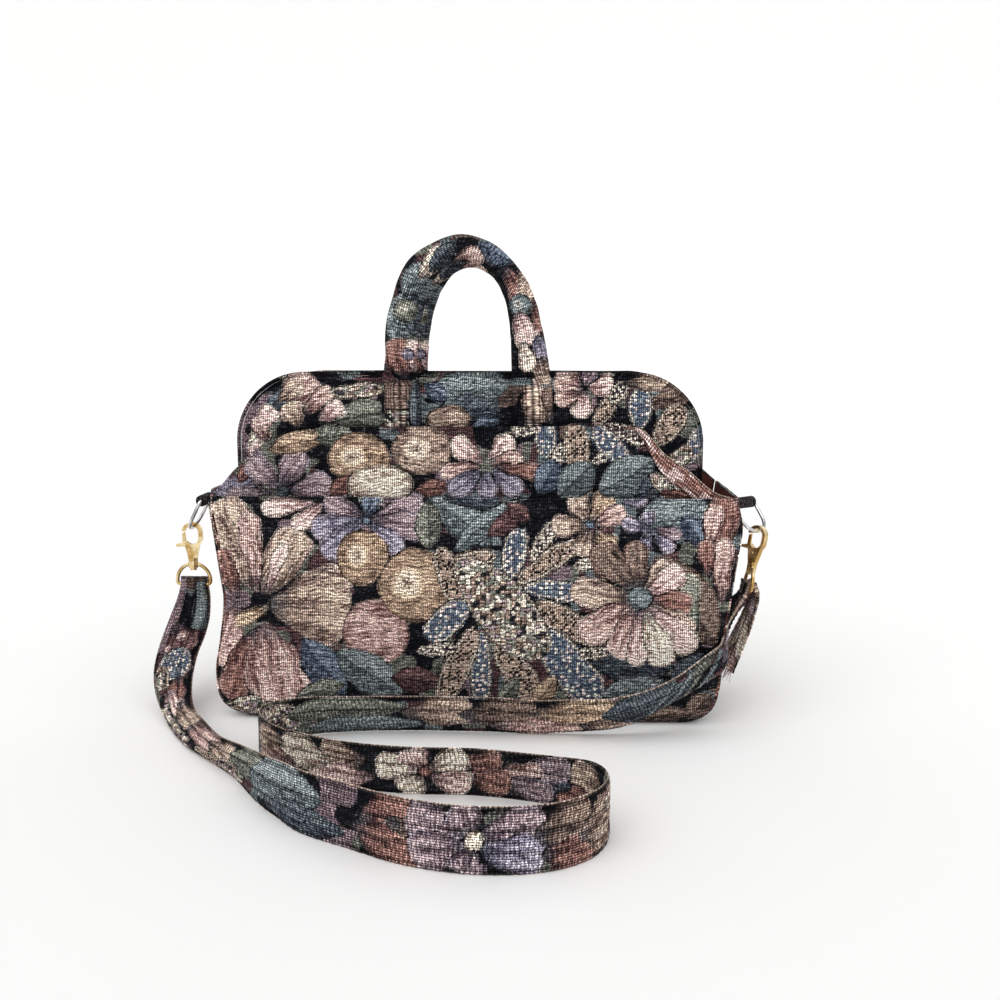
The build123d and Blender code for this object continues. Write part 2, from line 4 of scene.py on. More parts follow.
import bmesh
import bpy
import numpy as np
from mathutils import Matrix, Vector

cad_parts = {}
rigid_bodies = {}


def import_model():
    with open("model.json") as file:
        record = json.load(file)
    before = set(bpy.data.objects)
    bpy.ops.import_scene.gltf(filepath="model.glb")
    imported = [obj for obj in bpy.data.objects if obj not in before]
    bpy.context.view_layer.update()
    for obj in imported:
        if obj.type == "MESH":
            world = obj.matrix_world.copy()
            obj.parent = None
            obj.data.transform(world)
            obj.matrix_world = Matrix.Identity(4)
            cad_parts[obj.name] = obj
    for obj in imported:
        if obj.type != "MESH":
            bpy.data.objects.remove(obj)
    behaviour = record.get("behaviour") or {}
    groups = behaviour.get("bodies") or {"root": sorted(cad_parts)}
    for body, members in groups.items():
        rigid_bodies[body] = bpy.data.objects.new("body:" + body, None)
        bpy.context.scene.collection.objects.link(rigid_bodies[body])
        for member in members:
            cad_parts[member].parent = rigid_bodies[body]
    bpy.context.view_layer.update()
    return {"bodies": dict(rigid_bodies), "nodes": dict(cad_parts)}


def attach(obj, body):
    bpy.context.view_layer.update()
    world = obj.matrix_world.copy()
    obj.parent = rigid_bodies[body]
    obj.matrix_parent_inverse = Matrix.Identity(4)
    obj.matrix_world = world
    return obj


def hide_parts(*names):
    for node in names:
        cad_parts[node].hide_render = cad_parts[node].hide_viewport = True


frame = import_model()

bl_info = {
    "name": "Tapestry carpet bag",
    "version": (1, 0, 0),
    "blender": (4, 5, 0),
    "location": "3D Viewport > Sidebar > Carpet bag",
    "description": "Sews a tapestry carpet bag round its packed frame: panels, piping, handles, zip, strap and hooks",
    "category": "Object",
}

MM = 0.001
STRIDE = 4  # A panel's rear has one column and one row for this many of its front.
FAR = 4.0  # Distances from an outline of the print are followed this far, in millimetres.


# ---- Colours of the yarns

def shade(red, green, blue):
    """A colour given from 0 to 255 on the usual screen scale, as the linear light that shaders use."""
    value = np.array([red, green, blue], float) / 255
    return np.where(value > 0.04045, ((value + 0.055) / 1.055) ** 2.4, value / 12.92)


# Each dye lot has a dark, a middle and a light yarn.
YARNS = {
    "navy": ((5, 6, 10), (17, 18, 26), (54, 52, 58)),
    "tan": ((74, 50, 42), (150, 118, 98), (198, 170, 142)),
    "rose": ((92, 50, 48), (168, 122, 112), (206, 170, 156)),
    "pink": ((124, 78, 78), (190, 150, 144), (224, 194, 182)),
    "ochre": ((82, 56, 38), (162, 125, 90), (200, 166, 124)),
    "rust": ((58, 28, 28), (120, 68, 58), (162, 106, 88)),
    "wine": ((44, 26, 32), (90, 50, 54), (130, 84, 82)),
    "brown": ((46, 32, 30), (104, 78, 66), (142, 112, 92)),
    "cream": ((124, 92, 80), (202, 186, 160), (228, 216, 194)),
    "mauve": ((66, 46, 60), (128, 99, 109), (168, 140, 146)),
    "lavender": ((60, 54, 76), (110, 102, 130), (158, 148, 168)),
    "blue": ((28, 36, 54), (68, 86, 112), (108, 126, 146)),
    "slate": ((26, 30, 40), (60, 72, 86), (92, 106, 114)),
    "teal": ((44, 54, 60), (98, 113, 118), (138, 150, 151)),
    "sage": ((50, 52, 46), (108, 110, 97), (144, 144, 126)),
}
DYES = {name: np.array([shade(*yarn) for yarn in lot]) for name, lot in YARNS.items()}
# The four warps show through every colour, which greys it.
GREYED = 0.40
DYES = {name: (1 - GREYED) * lot + GREYED * lot.mean(1, keepdims=True) for name, lot in DYES.items()}
COTTON = shade(92, 52, 46)

# ---- Where each field of the print lies, in millimetres: kind, start, end, half-width, dye lot.
# A ball has a centre, its two radii and a flag for rings.

POCKET_PRINT = (
    ("petal", -133, 86, -164, 145, 16, "tan"), ("petal", -133, 86, -144, 139, 7, "rose"),
    ("petal", -132, 85, -108, 127, 12, "tan"), ("petal", -130, 88, -118, 118, 4, "pink"),
    ("petal", -99, 145, -133, 140, 5, "pink"), ("petal", -92, 145, -112, 127, 5, "pink"),
    ("petal", -66, 134, -100, 126, 8, "lavender"), ("petal", -68, 133, -92, 110, 8, "lavender"),
    ("petal", -66, 136, -92, 147, 6, "mauve"), ("petal", -62, 134, -27, 146, 7, "mauve"),
    ("petal", -62, 134, -25, 129, 8, "mauve"), ("petal", -63, 132, -40, 114, 6, "lavender"),
    ("petal", -64, 136, -60, 151, 6, "blue"), ("ball", -64, 134, 3, 3, 0, "blue"),
    ("leaf", -25, 148, 24, 118, 10, "teal"), ("leaf", -16, 148, 24, 146, 5, "slate"),
    ("leaf", -23, 116, -24, 146, 8, "sage"), ("leaf", -8, 114, 35, 148, 7, "teal"),
    ("leaf", 14, 123, 38, 141, 6, "wine"), ("leaf", 26, 145, 42, 135, 5, "wine"),
    ("petal", -129, 78, -74, 100, 9, "tan"), ("petal", -128, 78, -74, 76, 20, "tan"),
    ("petal", -148, 81, -161, 37, 9, "rose"), ("petal", -148, 82, -164, 113, 8, "rust"),
    ("petal", -134, 65, -157, 14, 10, "rust"), ("petal", -132, 67, -121, 12, 17, "rose"),
    ("petal", -127, 78, -151, 65, 4, "ochre"), ("ball", -67, 110, 17, 18, 1, "ochre"),
    ("ball", -58, 61, 22, 22, 0, "rose"), ("ball", -32, 92, 24, 24, 1, "ochre"),
    ("leaf", -107, 56, -79, 19, 11, "blue"), ("leaf", -84, 48, -41, 19, 12, "teal"),
    ("leaf", -112, 17, -79, 26, 6, "sage"), ("leaf", -48, 31, -15, 28, 8, "wine"),
    ("patch", -163, 3, -135, 13, 9, "pebble"), ("leaf", -138, 12, -120, -1, 6, "sage"),
    ("patch", -122, -5, -105, 13, 9, "blue"), ("patch", -104, -11, -87, 14, 9, "brown"),
    ("patch", -17, 116, -2, 80, 10, "brown"), ("patch", -8, 109, 20, 111, 6, "brown"),
    ("patch", 28, 96, 36, 129, 9, "blue"), ("patch", 43, 108, 59, 134, 6, "cream"),
    ("patch", 34, 94, 73, 121, 8, "brown"), ("patch", 70, 105, 85, 108, 5, "cream"),
    ("patch", 38, 91, 82, 88, 8, "blue"), ("patch", 45, 81, 85, 58, 10, "brown"),
    ("patch", 47, 66, 87, 16, 15, "blue"), ("patch", 21, 54, 48, 14, 11, "brown"),
    ("patch", 11, 62, 10, 14, 8, "blue"), ("patch", 7, 65, -16, 13, 10, "brown"),
    ("patch", -32, 49, -5, 51, 5, "cream"), ("patch", 3, 82, -25, 57, 11, "blue"),
    ("patch", -4, 109, 51, 47, 20, "pebble"), ("leaf", 44, 12, 60, 34, 6, "ochre"),
    ("leaf", 21, 14, 36, 31, 5, "sage"), ("petal", 79, 133, 70, 151, 6, "tan"),
    ("petal", 81, 134, 93, 151, 6, "ochre"), ("petal", 79, 131, 56, 131, 6, "tan"),
    ("petal", 83, 131, 103, 141, 6, "rose"), ("petal", 79, 129, 74, 111, 6, "tan"),
    ("petal", 83, 129, 96, 114, 6, "ochre"), ("ball", 80, 132, 3, 3, 0, "blue"),
    ("leaf", 109, 130, 160, 142, 15, "teal"), ("leaf", 138, 137, 155, 118, 7, "blue"),
    ("petal", 100, 146, 117, 148, 4, "lavender"), ("petal", 120, 128, 100, 134, 4, "lavender"),
    ("petal", 120, 127, 112, 114, 4, "lavender"), ("petal", 121, 127, 134, 114, 4, "lavender"),
    ("petal", 122, 129, 139, 124, 4, "mauve"), ("petal", 119, 130, 117, 141, 4, "lavender"),
    ("petal", 159, 109, 168, 149, 10, "rust"), ("petal", 156, 118, 160, 144, 5, "rose"),
    ("petal", 165, 81, 165, 124, 6, "rose"), ("petal", 157, 98, 154, 123, 5, "rust"),
    ("leaf", 122, 112, 162, 55, 16, "brown"), ("petal", 147, 56, 144, 102, 6, "sage"),
    ("leaf", 80, 45, 135, 41, 13, "slate"), ("leaf", 87, 22, 141, 24, 10, "teal"),
    ("leaf", 133, 23, 153, 50, 8, "slate"), ("patch", 73, 50, 93, 49, 5, "cream"),
    ("petal", 111, 89, 83, 118, 9, "brown"), ("petal", 113, 90, 109, 121, 7, "brown"),
    ("petal", 115, 89, 129, 109, 5, "tan"), ("petal", 116, 87, 140, 103, 7, "pink"),
    ("petal", 118, 84, 146, 81, 8, "rust"), ("petal", 117, 81, 148, 63, 6, "tan"),
    ("petal", 109, 82, 76, 59, 10, "rose"), ("petal", 109, 85, 68, 90, 8, "tan"),
    ("petal", 111, 80, 98, 46, 8, "rose"), ("petal", 113, 78, 112, 41, 7, "pink"),
    ("petal", 116, 80, 148, 52, 8, "pink"), ("petal", 115, 78, 130, 41, 8, "cream"),
    ("ball", 113, 85, 8, 8, 0, "teal"), ("leaf", 144, 5, 160, 22, 8, "brown"),
    ("leaf", 88, 2, 148, 9, 8, "brown"),
)
WALL_PRINT = (
    ("petal", -135, 159, -168, 148, 7, "lavender"), ("leaf", -151, 156, -142, 170, 4, "rust"),
    ("petal", -125, 153, -144, 172, 8, "mauve"), ("petal", -123, 155, -109, 178, 8, "mauve"),
    ("petal", -129, 150, -160, 148, 5, "mauve"), ("petal", -118, 151, -88, 156, 8, "mauve"),
    ("ball", -122, 150, 4, 4, 0, "slate"), ("leaf", -131, 178, -92, 187, 6, "ochre"),
    ("leaf", -99, 186, -74, 188, 6, "sage"), ("ball", -71, 173, 21, 16, 1, "ochre"),
    ("ball", -29, 178, 20, 16, 1, "tan"), ("leaf", -90, 148, -76, 160, 5, "rust"),
    ("leaf", -33, 152, -12, 155, 5, "rust"), ("ball", -57, 155, 23, 13, 0, "cream"),
    ("petal", 11, 170, -9, 184, 6, "pink"), ("petal", 14, 172, 30, 187, 6, "pink"),
    ("petal", 10, 168, -17, 163, 5, "rose"), ("petal", 15, 170, 37, 171, 7, "rose"),
    ("petal", 18, 168, 52, 163, 5, "rust"), ("petal", 10, 165, -11, 149, 7, "lavender"),
    ("petal", 17, 165, 35, 150, 6, "lavender"), ("petal", 13, 165, 14, 147, 6, "lavender"),
    ("patch", 28, 191, 46, 190, 4, "cream"), ("patch", 51, 174, 52, 197, 8, "blue"),
    ("patch", 82, 171, 91, 175, 4, "cream"), ("patch", 92, 195, 118, 183, 5, "cream"),
    ("patch", 73, 162, 70, 195, 10, "brown"), ("patch", 56, 167, 62, 183, 5, "cream"),
    ("patch", 83, 193, 103, 172, 9, "blue"), ("leaf", 47, 150, 59, 172, 8, "blue"),
    ("leaf", 61, 148, 82, 170, 10, "teal"), ("leaf", 86, 150, 122, 172, 12, "teal"),
    ("leaf", 110, 148, 132, 161, 7, "slate"), ("patch", 119, 162, 147, 145, 7, "pebble"),
    ("leaf", 125, 151, 161, 145, 4, "rust"),
)
PANEL_PRINT = (
    ("leaf", -134, 202, -116, 219, 6, "slate"), ("petal", -118, 207, -103, 226, 9, "rose"),
    ("petal", -126, 209, -111, 221, 6, "tan"), ("petal", -109, 202, -90, 217, 6, "rose"),
    ("patch", -92, 215, -55, 218, 6, "pebble"), ("leaf", -88, 196, -51, 204, 10, "sage"),
    ("petal", -98, 197, -83, 208, 6, "pink"), ("petal", -112, 192, -119, 208, 7, "tan"),
    ("petal", -139, 191, -129, 205, 6, "pink"), ("patch", -146, 178, -132, 191, 7, "pebble"),
    ("petal", -134, 182, -140, 199, 5, "rose"), ("petal", -145, 163, -138, 183, 6, "pink"),
    ("leaf", -29, 215, 27, 218, 11, "teal"), ("leaf", -20, 206, 23, 204, 8, "slate"),
    ("leaf", -29, 221, -13, 210, 5, "blue"), ("ball", -13, 198, 15, 9, 0, "tan"),
    ("petal", 75, 217, 57, 225, 7, "rose"), ("petal", 74, 214, 57, 210, 5, "rose"),
    ("petal", 78, 219, 80, 228, 5, "mauve"), ("petal", 79, 218, 96, 220, 6, "pink"),
    ("petal", 78, 216, 73, 199, 6, "pink"), ("patch", 85, 193, 95, 212, 7, "brown"),
    ("patch", 94, 208, 103, 222, 6, "cream"), ("patch", 113, 191, 113, 218, 9, "blue"),
    ("petal", 103, 221, 135, 223, 6, "tan"), ("leaf", 121, 209, 146, 214, 8, "brown"),
    ("patch", 124, 182, 141, 207, 10, "brown"), ("patch", 146, 169, 153, 193, 7, "blue"),
    ("patch", 128, 163, 147, 179, 7, "pebble"), ("leaf", 2, 190, 21, 198, 5, "blue"),
)
HANDLE_PRINT = (
    ("leaf", -45, 246, -39, 279, 9, "teal"), ("leaf", -33, 252, -34, 281, 6, "slate"),
    ("petal", -41, 225, -44, 250, 10, "rust"), ("petal", -34, 229, -31, 250, 6, "pink"),
    ("ball", -37, 240, 4, 4, 0, "lavender"), ("ball", -39, 268, 8, 7, 1, "sage"),
    ("leaf", -39, 277, -26, 298, 7, "teal"), ("petal", -30, 289, -11, 307, 6, "cream"),
    ("leaf", -23, 292, -5, 312, 5, "slate"), ("petal", -10, 298, 12, 304, 5, "rose"),
    ("leaf", 8, 310, 31, 297, 6, "blue"), ("petal", 26, 294, 36, 274, 6, "rust"),
    ("petal", 35, 298, 40, 274, 5, "tan"), ("ball", 35, 271, 7, 7, 1, "teal"),
    ("petal", 33, 267, 42, 245, 7, "pink"), ("petal", 45, 274, 49, 255, 5, "rust"),
    ("petal", 45, 253, 51, 234, 6, "lavender"), ("petal", 37, 249, 41, 229, 5, "cream"),
    ("petal", 48, 238, 54, 221, 8, "tan"), ("band", -46, 204, -46, 223, 9, "brown"),
    ("band", -46, 183, -46, 204, 8, "pebble"), ("leaf", -33, 184, -33, 224, 5, "slate"),
    ("petal", 41, 192, 50, 219, 9, "tan"), ("petal", 56, 195, 55, 220, 6, "brown"),
)
# Along the strap and across it. The front face shows on the outside of the left leg, along the
# floor in front and on the run back; the rear face shows where the strap turns back on itself.
STRAP_PRINT = (
    ("band", 0, -13, 54, -13, 5, "mauve"), ("band", 2, 10, 40, 10, 6, "teal"),
    ("petal", 34, -9, 60, 8, 10, "wine"), ("ball", 44, 0, 4, 4, 0, "pink"),
    ("ball", 52, -8, 3, 3, 0, "pink"), ("patch", 54, 0, 82, 2, 15, "blue"),
    ("patch", 66, -10, 90, -8, 8, "pebble"), ("petal", 80, 6, 108, 2, 8, "rust"),
    ("petal", 92, -4, 124, 2, 9, "pink"), ("petal", 108, 6, 156, 8, 10, "tan"),
    ("band", 104, -12, 168, -11, 6, "pebble"), ("petal", 150, 3, 200, 6, 10, "rose"),
    ("petal", 188, 6, 222, 0, 11, "tan"), ("patch", 176, -10, 214, -10, 7, "brown"),
    ("patch", 206, -8, 244, -8, 9, "pebble"), ("leaf", 216, 6, 272, 8, 11, "sage"),
    ("leaf", 252, 3, 322, 4, 15, "teal"), ("leaf", 272, -10, 336, -9, 8, "slate"),
    ("petal", 346, 2, 376, 10, 11, "rust"), ("petal", 340, -4, 382, -10, 10, "rust"),
    ("petal", 360, 4, 398, 2, 7, "brown"), ("petal", 402, 3, 372, 9, 9, "mauve"),
    ("petal", 402, -2, 374, -10, 9, "mauve"), ("petal", 404, 4, 398, 17, 8, "mauve"),
    ("petal", 408, 2, 438, 9, 9, "mauve"), ("petal", 408, -2, 438, -9, 9, "lavender"),
    ("petal", 404, -4, 400, -17, 8, "mauve"), ("ball", 405, 0, 5, 5, 0, "cream"),
    ("petal", 432, 2, 464, 4, 12, "brown"), ("petal", 436, -8, 466, -10, 8, "rust"),
    ("petal", 456, -2, 488, 0, 13, "tan"), ("petal", 474, 6, 504, 7, 9, "cream"),
    ("petal", 480, -8, 512, -7, 8, "rose"), ("leaf", 510, 0, 570, 4, 14, "sage"),
    ("patch", 566, 0, 610, 2, 14, "brown"), ("petal", 604, 2, 660, 4, 13, "tan"),
    ("leaf", 650, 0, 716, 2, 14, "slate"),
    ("patch", 710, 0, 762, 2, 16, "pebble"), ("leaf", 752, 5, 830, 7, 11, "sage"),
    ("leaf", 764, -9, 840, -9, 8, "teal"), ("petal", 826, 2, 872, 6, 12, "tan"),
    ("petal", 862, 0, 912, 7, 13, "brown"), ("petal", 880, -9, 940, -8, 8, "rose"),
    ("petal", 904, 5, 964, 6, 11, "ochre"), ("petal", 936, -8, 972, -7, 8, "tan"),
    ("leaf", 952, 2, 1016, 2, 16, "slate"), ("band", 976, -15, 1004, 15, 2, "teal"),
    ("band", 988, -15, 1016, 15, 2, "teal"), ("band", 1000, -15, 1028, 15, 2, "sage"),
    ("band", 1012, -15, 1040, 15, 2, "teal"), ("petal", 1036, 2, 1078, 4, 12, "mauve"),
    ("petal", 1044, -8, 1092, -8, 8, "wine"), ("petal", 1072, 5, 1130, 4, 12, "wine"),
)
STRAP_TURN_PRINT = (
    ("band", 496, 0, 712, 0, 18, "navy"), ("petal", 498, 0, 524, 4, 13, "tan"),
    ("petal", 504, -8, 530, -8, 8, "rust"), ("ball", 531, 0, 9, 7, 0, "slate"),
    ("petal", 556, 2, 522, 11, 8, "mauve"), ("petal", 562, 0, 538, 4, 8, "rose"),
    ("petal", 560, -3, 532, -10, 8, "mauve"), ("petal", 580, 0, 556, -7, 9, "rust"),
    ("petal", 586, 6, 560, 10, 7, "rust"), ("petal", 600, 3, 580, 12, 8, "cream"),
    ("petal", 600, -3, 578, -10, 8, "pink"), ("petal", 606, 0, 630, 4, 9, "cream"),
    ("petal", 604, 3, 612, 16, 8, "pink"), ("petal", 604, -4, 616, -15, 8, "cream"),
    ("ball", 603, 0, 4, 4, 0, "rust"), ("petal", 636, 6, 664, 9, 9, "tan"),
    ("petal", 632, -6, 672, -8, 9, "pink"), ("petal", 656, 2, 694, 5, 11, "cream"),
    ("petal", 682, -6, 716, -2, 10, "rose"), ("petal", 690, 8, 718, 6, 8, "tan"),
)
TAIL_PRINT = (
    ("band", -4, 0, 70, 0, 18, "brown"), ("petal", 0, 2, 22, 4, 12, "mauve"),
    ("petal", 10, -6, 40, -6, 11, "tan"), ("petal", 20, 6, 52, 7, 11, "cream"),
    ("petal", 34, -4, 62, -2, 11, "cream"), ("petal", 44, 5, 66, 8, 9, "rose"),
)


# ---- Curves and noise

def flow(knots, x):
    """A smooth curve through knots: between each pair, the cubic whose end slopes are the means of
    the neighbouring chords' slopes. knots is rows of (x, value, ...), and x is a whole array."""
    knots = np.asarray(knots, float)
    at, value = knots[:, 0], knots[:, 1:]
    chord = np.diff(value, axis=0) / np.diff(at)[:, None]
    slope = np.vstack([chord[:1], (chord[1:] + chord[:-1]) / 2, chord[-1:]])
    x = np.clip(np.asarray(x, float), at[0], at[-1])
    i = np.clip(np.searchsorted(at, x) - 1, 0, len(at) - 2)
    span = (at[i + 1] - at[i])[..., None]
    t = ((x - at[i])[..., None]) / span
    a, b = value[i], value[i + 1]
    c, d = slope[i] * span, slope[i + 1] * span
    found = a + t * (c + t * (3 * (b - a) - 2 * c - d + t * (2 * (a - b) + c + d)))
    return found[..., 0] if found.shape[-1] == 1 else found


def smooth(low, high, x):
    """0 below low, 1 above high, and 3t^2 - 2t^3 between."""
    t = np.clip((x - low) / (high - low), 0, 1)
    return t * t * (3 - 2 * t)


def lattice(i, j, seed):
    """A repeatable number from 0 to 1 for each cell: the fraction left of a large multiple of a sine."""
    h = np.sin(i * 127.1 + j * 311.7 + seed * 74.7) * 43758.5453
    return h - np.floor(h)


def noise(x, y, seed=0):
    """Smooth noise from 0 to 1: the four cell numbers round a point, mixed by 3t^2 - 2t^3."""
    i, j = np.floor(x), np.floor(y)
    s, t = x - i, y - j
    s, t = s * s * (3 - 2 * s), t * t * (3 - 2 * t)
    low = lattice(i, j, seed) * (1 - s) + lattice(i + 1, j, seed) * s
    high = lattice(i, j + 1, seed) * (1 - s) + lattice(i + 1, j + 1, seed) * s
    return low * (1 - t) + high * t


def cells(x, y, seed=0):
    """For each point, the distance to the nearest of one jittered dot per cell, the distance to the
    second nearest, the nearest dot's own number, and the angle from it."""
    i, j = np.floor(x), np.floor(y)
    first, second, own, turn = np.full(x.shape, 9.0), np.full(x.shape, 9.0), np.zeros(x.shape), np.zeros(x.shape)
    for a in (-1, 0, 1):
        for b in (-1, 0, 1):
            px = i + a + 0.2 + 0.6 * lattice(i + a, j + b, seed)
            py = j + b + 0.2 + 0.6 * lattice(i + a, j + b, seed + 5)
            far = np.hypot(x - px, y - py)
            nearer = far < first
            second = np.where(nearer, first, np.minimum(second, far))
            own = np.where(nearer, lattice(i + a, j + b, seed + 9), own)
            turn = np.where(nearer, np.arctan2(y - py, x - px), turn)
            first = np.minimum(first, far)
    return first, second, own, turn


# ---- The print: fields of colour laid over each other

# The lot that a petal's rim is shot with.
RIM = {"tan": "pink", "rose": "pink", "rust": "rose", "brown": "rust", "ochre": "tan", "mauve": "lavender",
       "lavender": "mauve", "pink": "cream", "cream": "pink", "wine": "rose"}


def mixed(dye, k):
    """A dye lot's colour for k, of any shape, from 0, dark, through 0.5, middle, to 1, light."""
    dark, middle, light = DYES[dye]
    k = np.clip(k, 0, 1)[..., None]
    return np.where(k < 0.5, dark + (middle - dark) * 2 * k, middle + (light - middle) * (2 * k - 1))


def towards(colour, other, share):
    """A colour moved a share of the way, from 0 to 1, to another."""
    return colour + (other - colour) * share[..., None]


def choice(lots, own, k):
    """Picks one of several dye lots for each point by its number from 0 to 1."""
    colours = np.stack([mixed(lot, k) for lot in lots])
    which = np.clip((own * len(lots)).astype(int), 0, len(lots) - 1)
    return colours[which, np.arange(len(which))]


def stitched(style, u, v):
    """The small repeats inside a patch: pebbles, dots, four-petalled flowers or blobs."""
    if style == "pebble":
        near, beyond, own, _ = cells(u / 3.3, v / 2.8, 3)
        colour = choice(("cream", "tan", "mauve", "cream", "brown", "navy", "sage"), own, 0.45 + 0.5 * noise(u, v, 7))
        return colour * (0.03 + 1.1 * smooth(0.10, 0.24, beyond - near))[:, None]
    if style == "blue":
        near, _, own, _ = cells(u / 3.6, v / 3.2, 4)
        speck = choice(("cream", "pink", "teal", "cream"), own, 0.8 + 0.2 * own)
        rows = 0.1 + 0.5 * noise(u * 0.3, v * 1.4, 6)
        return np.where(((near < 0.3) & (own > 0.15))[:, None], speck, mixed("blue", rows))
    if style == "brown":
        near, _, own, turn = cells(u / 6.6, v / 6.6, 8)
        lobes = 2.0 + 1.1 * np.cos(4 * turn + own)
        dark = (near * 6.0 < lobes) & (near * 6.0 > 0.7)
        base = mixed("tan", 0.3 + 0.6 * noise(u * 0.5, v * 1.1, 2))
        return np.where(dark[:, None], DYES["navy"][0], base)
    near, _, own, _ = cells(u / 2.4, v / 2.4, 6)
    return np.where((near < 0.33)[:, None], mixed("cream", 0.6 + 0.4 * own), DYES["navy"][1] + 0.6 * DYES["wine"][0])


def ball_field(a, b, weft, x0, y0, across, up, rings, lot, seed):
    """A round head, whose radius is scaled to 1 at its outline: with rings round a five-pointed
    eye, or with two spiral shadows, the sine of twice the angle plus 8 times the radius. Returns
    its colour and how far each point is inside the outline."""
    p, q = (a - x0) / across, (b - y0) / up
    r, turn = np.hypot(p, q), np.arctan2(q, p)
    k = 0.72 - 0.35 * r + 0.4 * weft
    k = k + 0.8 * (noise(a / 5, b / 1.2, seed + 12) - 0.5)
    if rings:
        off = np.hypot(p + 0.2, q - 0.05)
        k = k - 0.16 * (np.sin(off * 15 + 1.6 * weft) > 0.3) + 0.3 * smooth(0.12, 0.04, abs(off - 0.36))
        eye = off < 0.10 + 0.07 * np.cos(5 * np.arctan2(q - 0.05, p + 0.2))
        k = np.where(eye, -0.3, k + 0.1 * smooth(0.5, 0.3, off))
    else:
        k, off = k - 0.2 * (np.sin(2 * turn + 8 * r + 2.5 * weft) > 0.6) + 0.15 * weft, np.ones(len(r))
    colour = towards(mixed(lot, k), mixed("cream", k), 0.45 * smooth(0.46, 0.2, off))
    return colour, (1 - r) * min(across, up)


def long_field(kind, a, b, weft, x0, y0, x1, y1, w, lot, seed):
    """A field along a line, where t runs from 0 at its root to 1 at its tip and c is the distance
    from the line. The half-width is 1.66 w t^0.62 (1 - t^5)^0.5 for a petal, 1.15 w sin(pi t)^0.8
    for a leaf, w for a band, and for a patch w (1 - (2t - 1)^2)^0.4 with a wider tip. Returns its
    colour and how far each point is inside the outline."""
    length = max(np.hypot(x1 - x0, y1 - y0), 1e-3)
    ax, ay = (x1 - x0) / length, (y1 - y0) / length
    t = ((a - x0) * ax + (b - y0) * ay) / length
    c = (b - y0) * ax - (a - x0) * ay
    inside = np.clip(t, 0, 1)
    if kind == "petal":
        half = 1.16 * w * inside ** 0.62 * np.sqrt(1 - inside ** 5) / 0.70
        half = half * (1 + 0.08 * np.sin(t * 11 + c * 0.25))
        fan = np.sin(c / np.maximum(half, 1) * 8 + 2.6 * weft + t * 2)
        hair = noise(c / 0.95 + 40, t * length / 7, seed + 12) + 0.5 * noise(c / 0.6, t * length / 4, seed + 13)
        k = -0.02 + 0.9 * t + 0.5 * weft + 1.05 * (hair - 0.75) - 0.35 * (fan > 0.7) + 0.3 * (fan < -0.75)
        rim = smooth(3.4, 0.6, half - abs(c)) * smooth(0.35, 0.8, t)
        root = smooth(0.34, 0.05, t) * (0.35 + 0.65 * noise(a / 3, b / 3, 15))
        colour = towards(mixed(lot, k), mixed(RIM.get(lot, "cream"), k + 0.1), 0.55 * rim)
        colour = towards(colour, mixed("slate", 0.35 + 0.5 * weft), 0.75 * root)
    elif kind == "leaf":
        half = 1.15 * w * np.sin(pi * inside) ** 0.8
        veins = np.sin((t * length - abs(c) * 1.1) * 2 * pi / 5.2 + 1.2 * weft)
        hair = noise(a / 5 + c / 3, b / 1.1, seed + 12) - 0.5
        k = 0.5 + 0.2 * np.sign(c) + 0.4 * weft + 0.8 * hair - 0.4 * (veins > 0.7) - 0.5 * (abs(c) < 0.55)
        colour = mixed(lot, k)
    elif kind == "band":
        half = np.where((t > 0) & (t < 1), float(w), 0.0)
        colour = mixed(lot, 0.5 + 0.6 * weft) if lot in DYES else stitched(lot, a, b)
    else:
        half = w * np.sqrt(np.clip(1 - (2 * inside - 1) ** 2, 0, 1)) ** 0.8 * (0.9 + 0.25 * (inside - 0.5))
        rim = half - abs(c)
        beads = mixed("cream", 0.9 * (np.sin(t * length * 2 * pi / 2.2) > -0.2) - 0.1)
        colour = np.where(((rim > 0.9) & (rim < 2.0))[:, None], beads * 0.8, stitched(lot, a, b))
    far = np.minimum(half - abs(c), 0.9 * length * np.minimum(t, 1 - t) + 0.2) * 0.9
    return colour, np.where((t > 0) & (t < 1), far, -1.0)


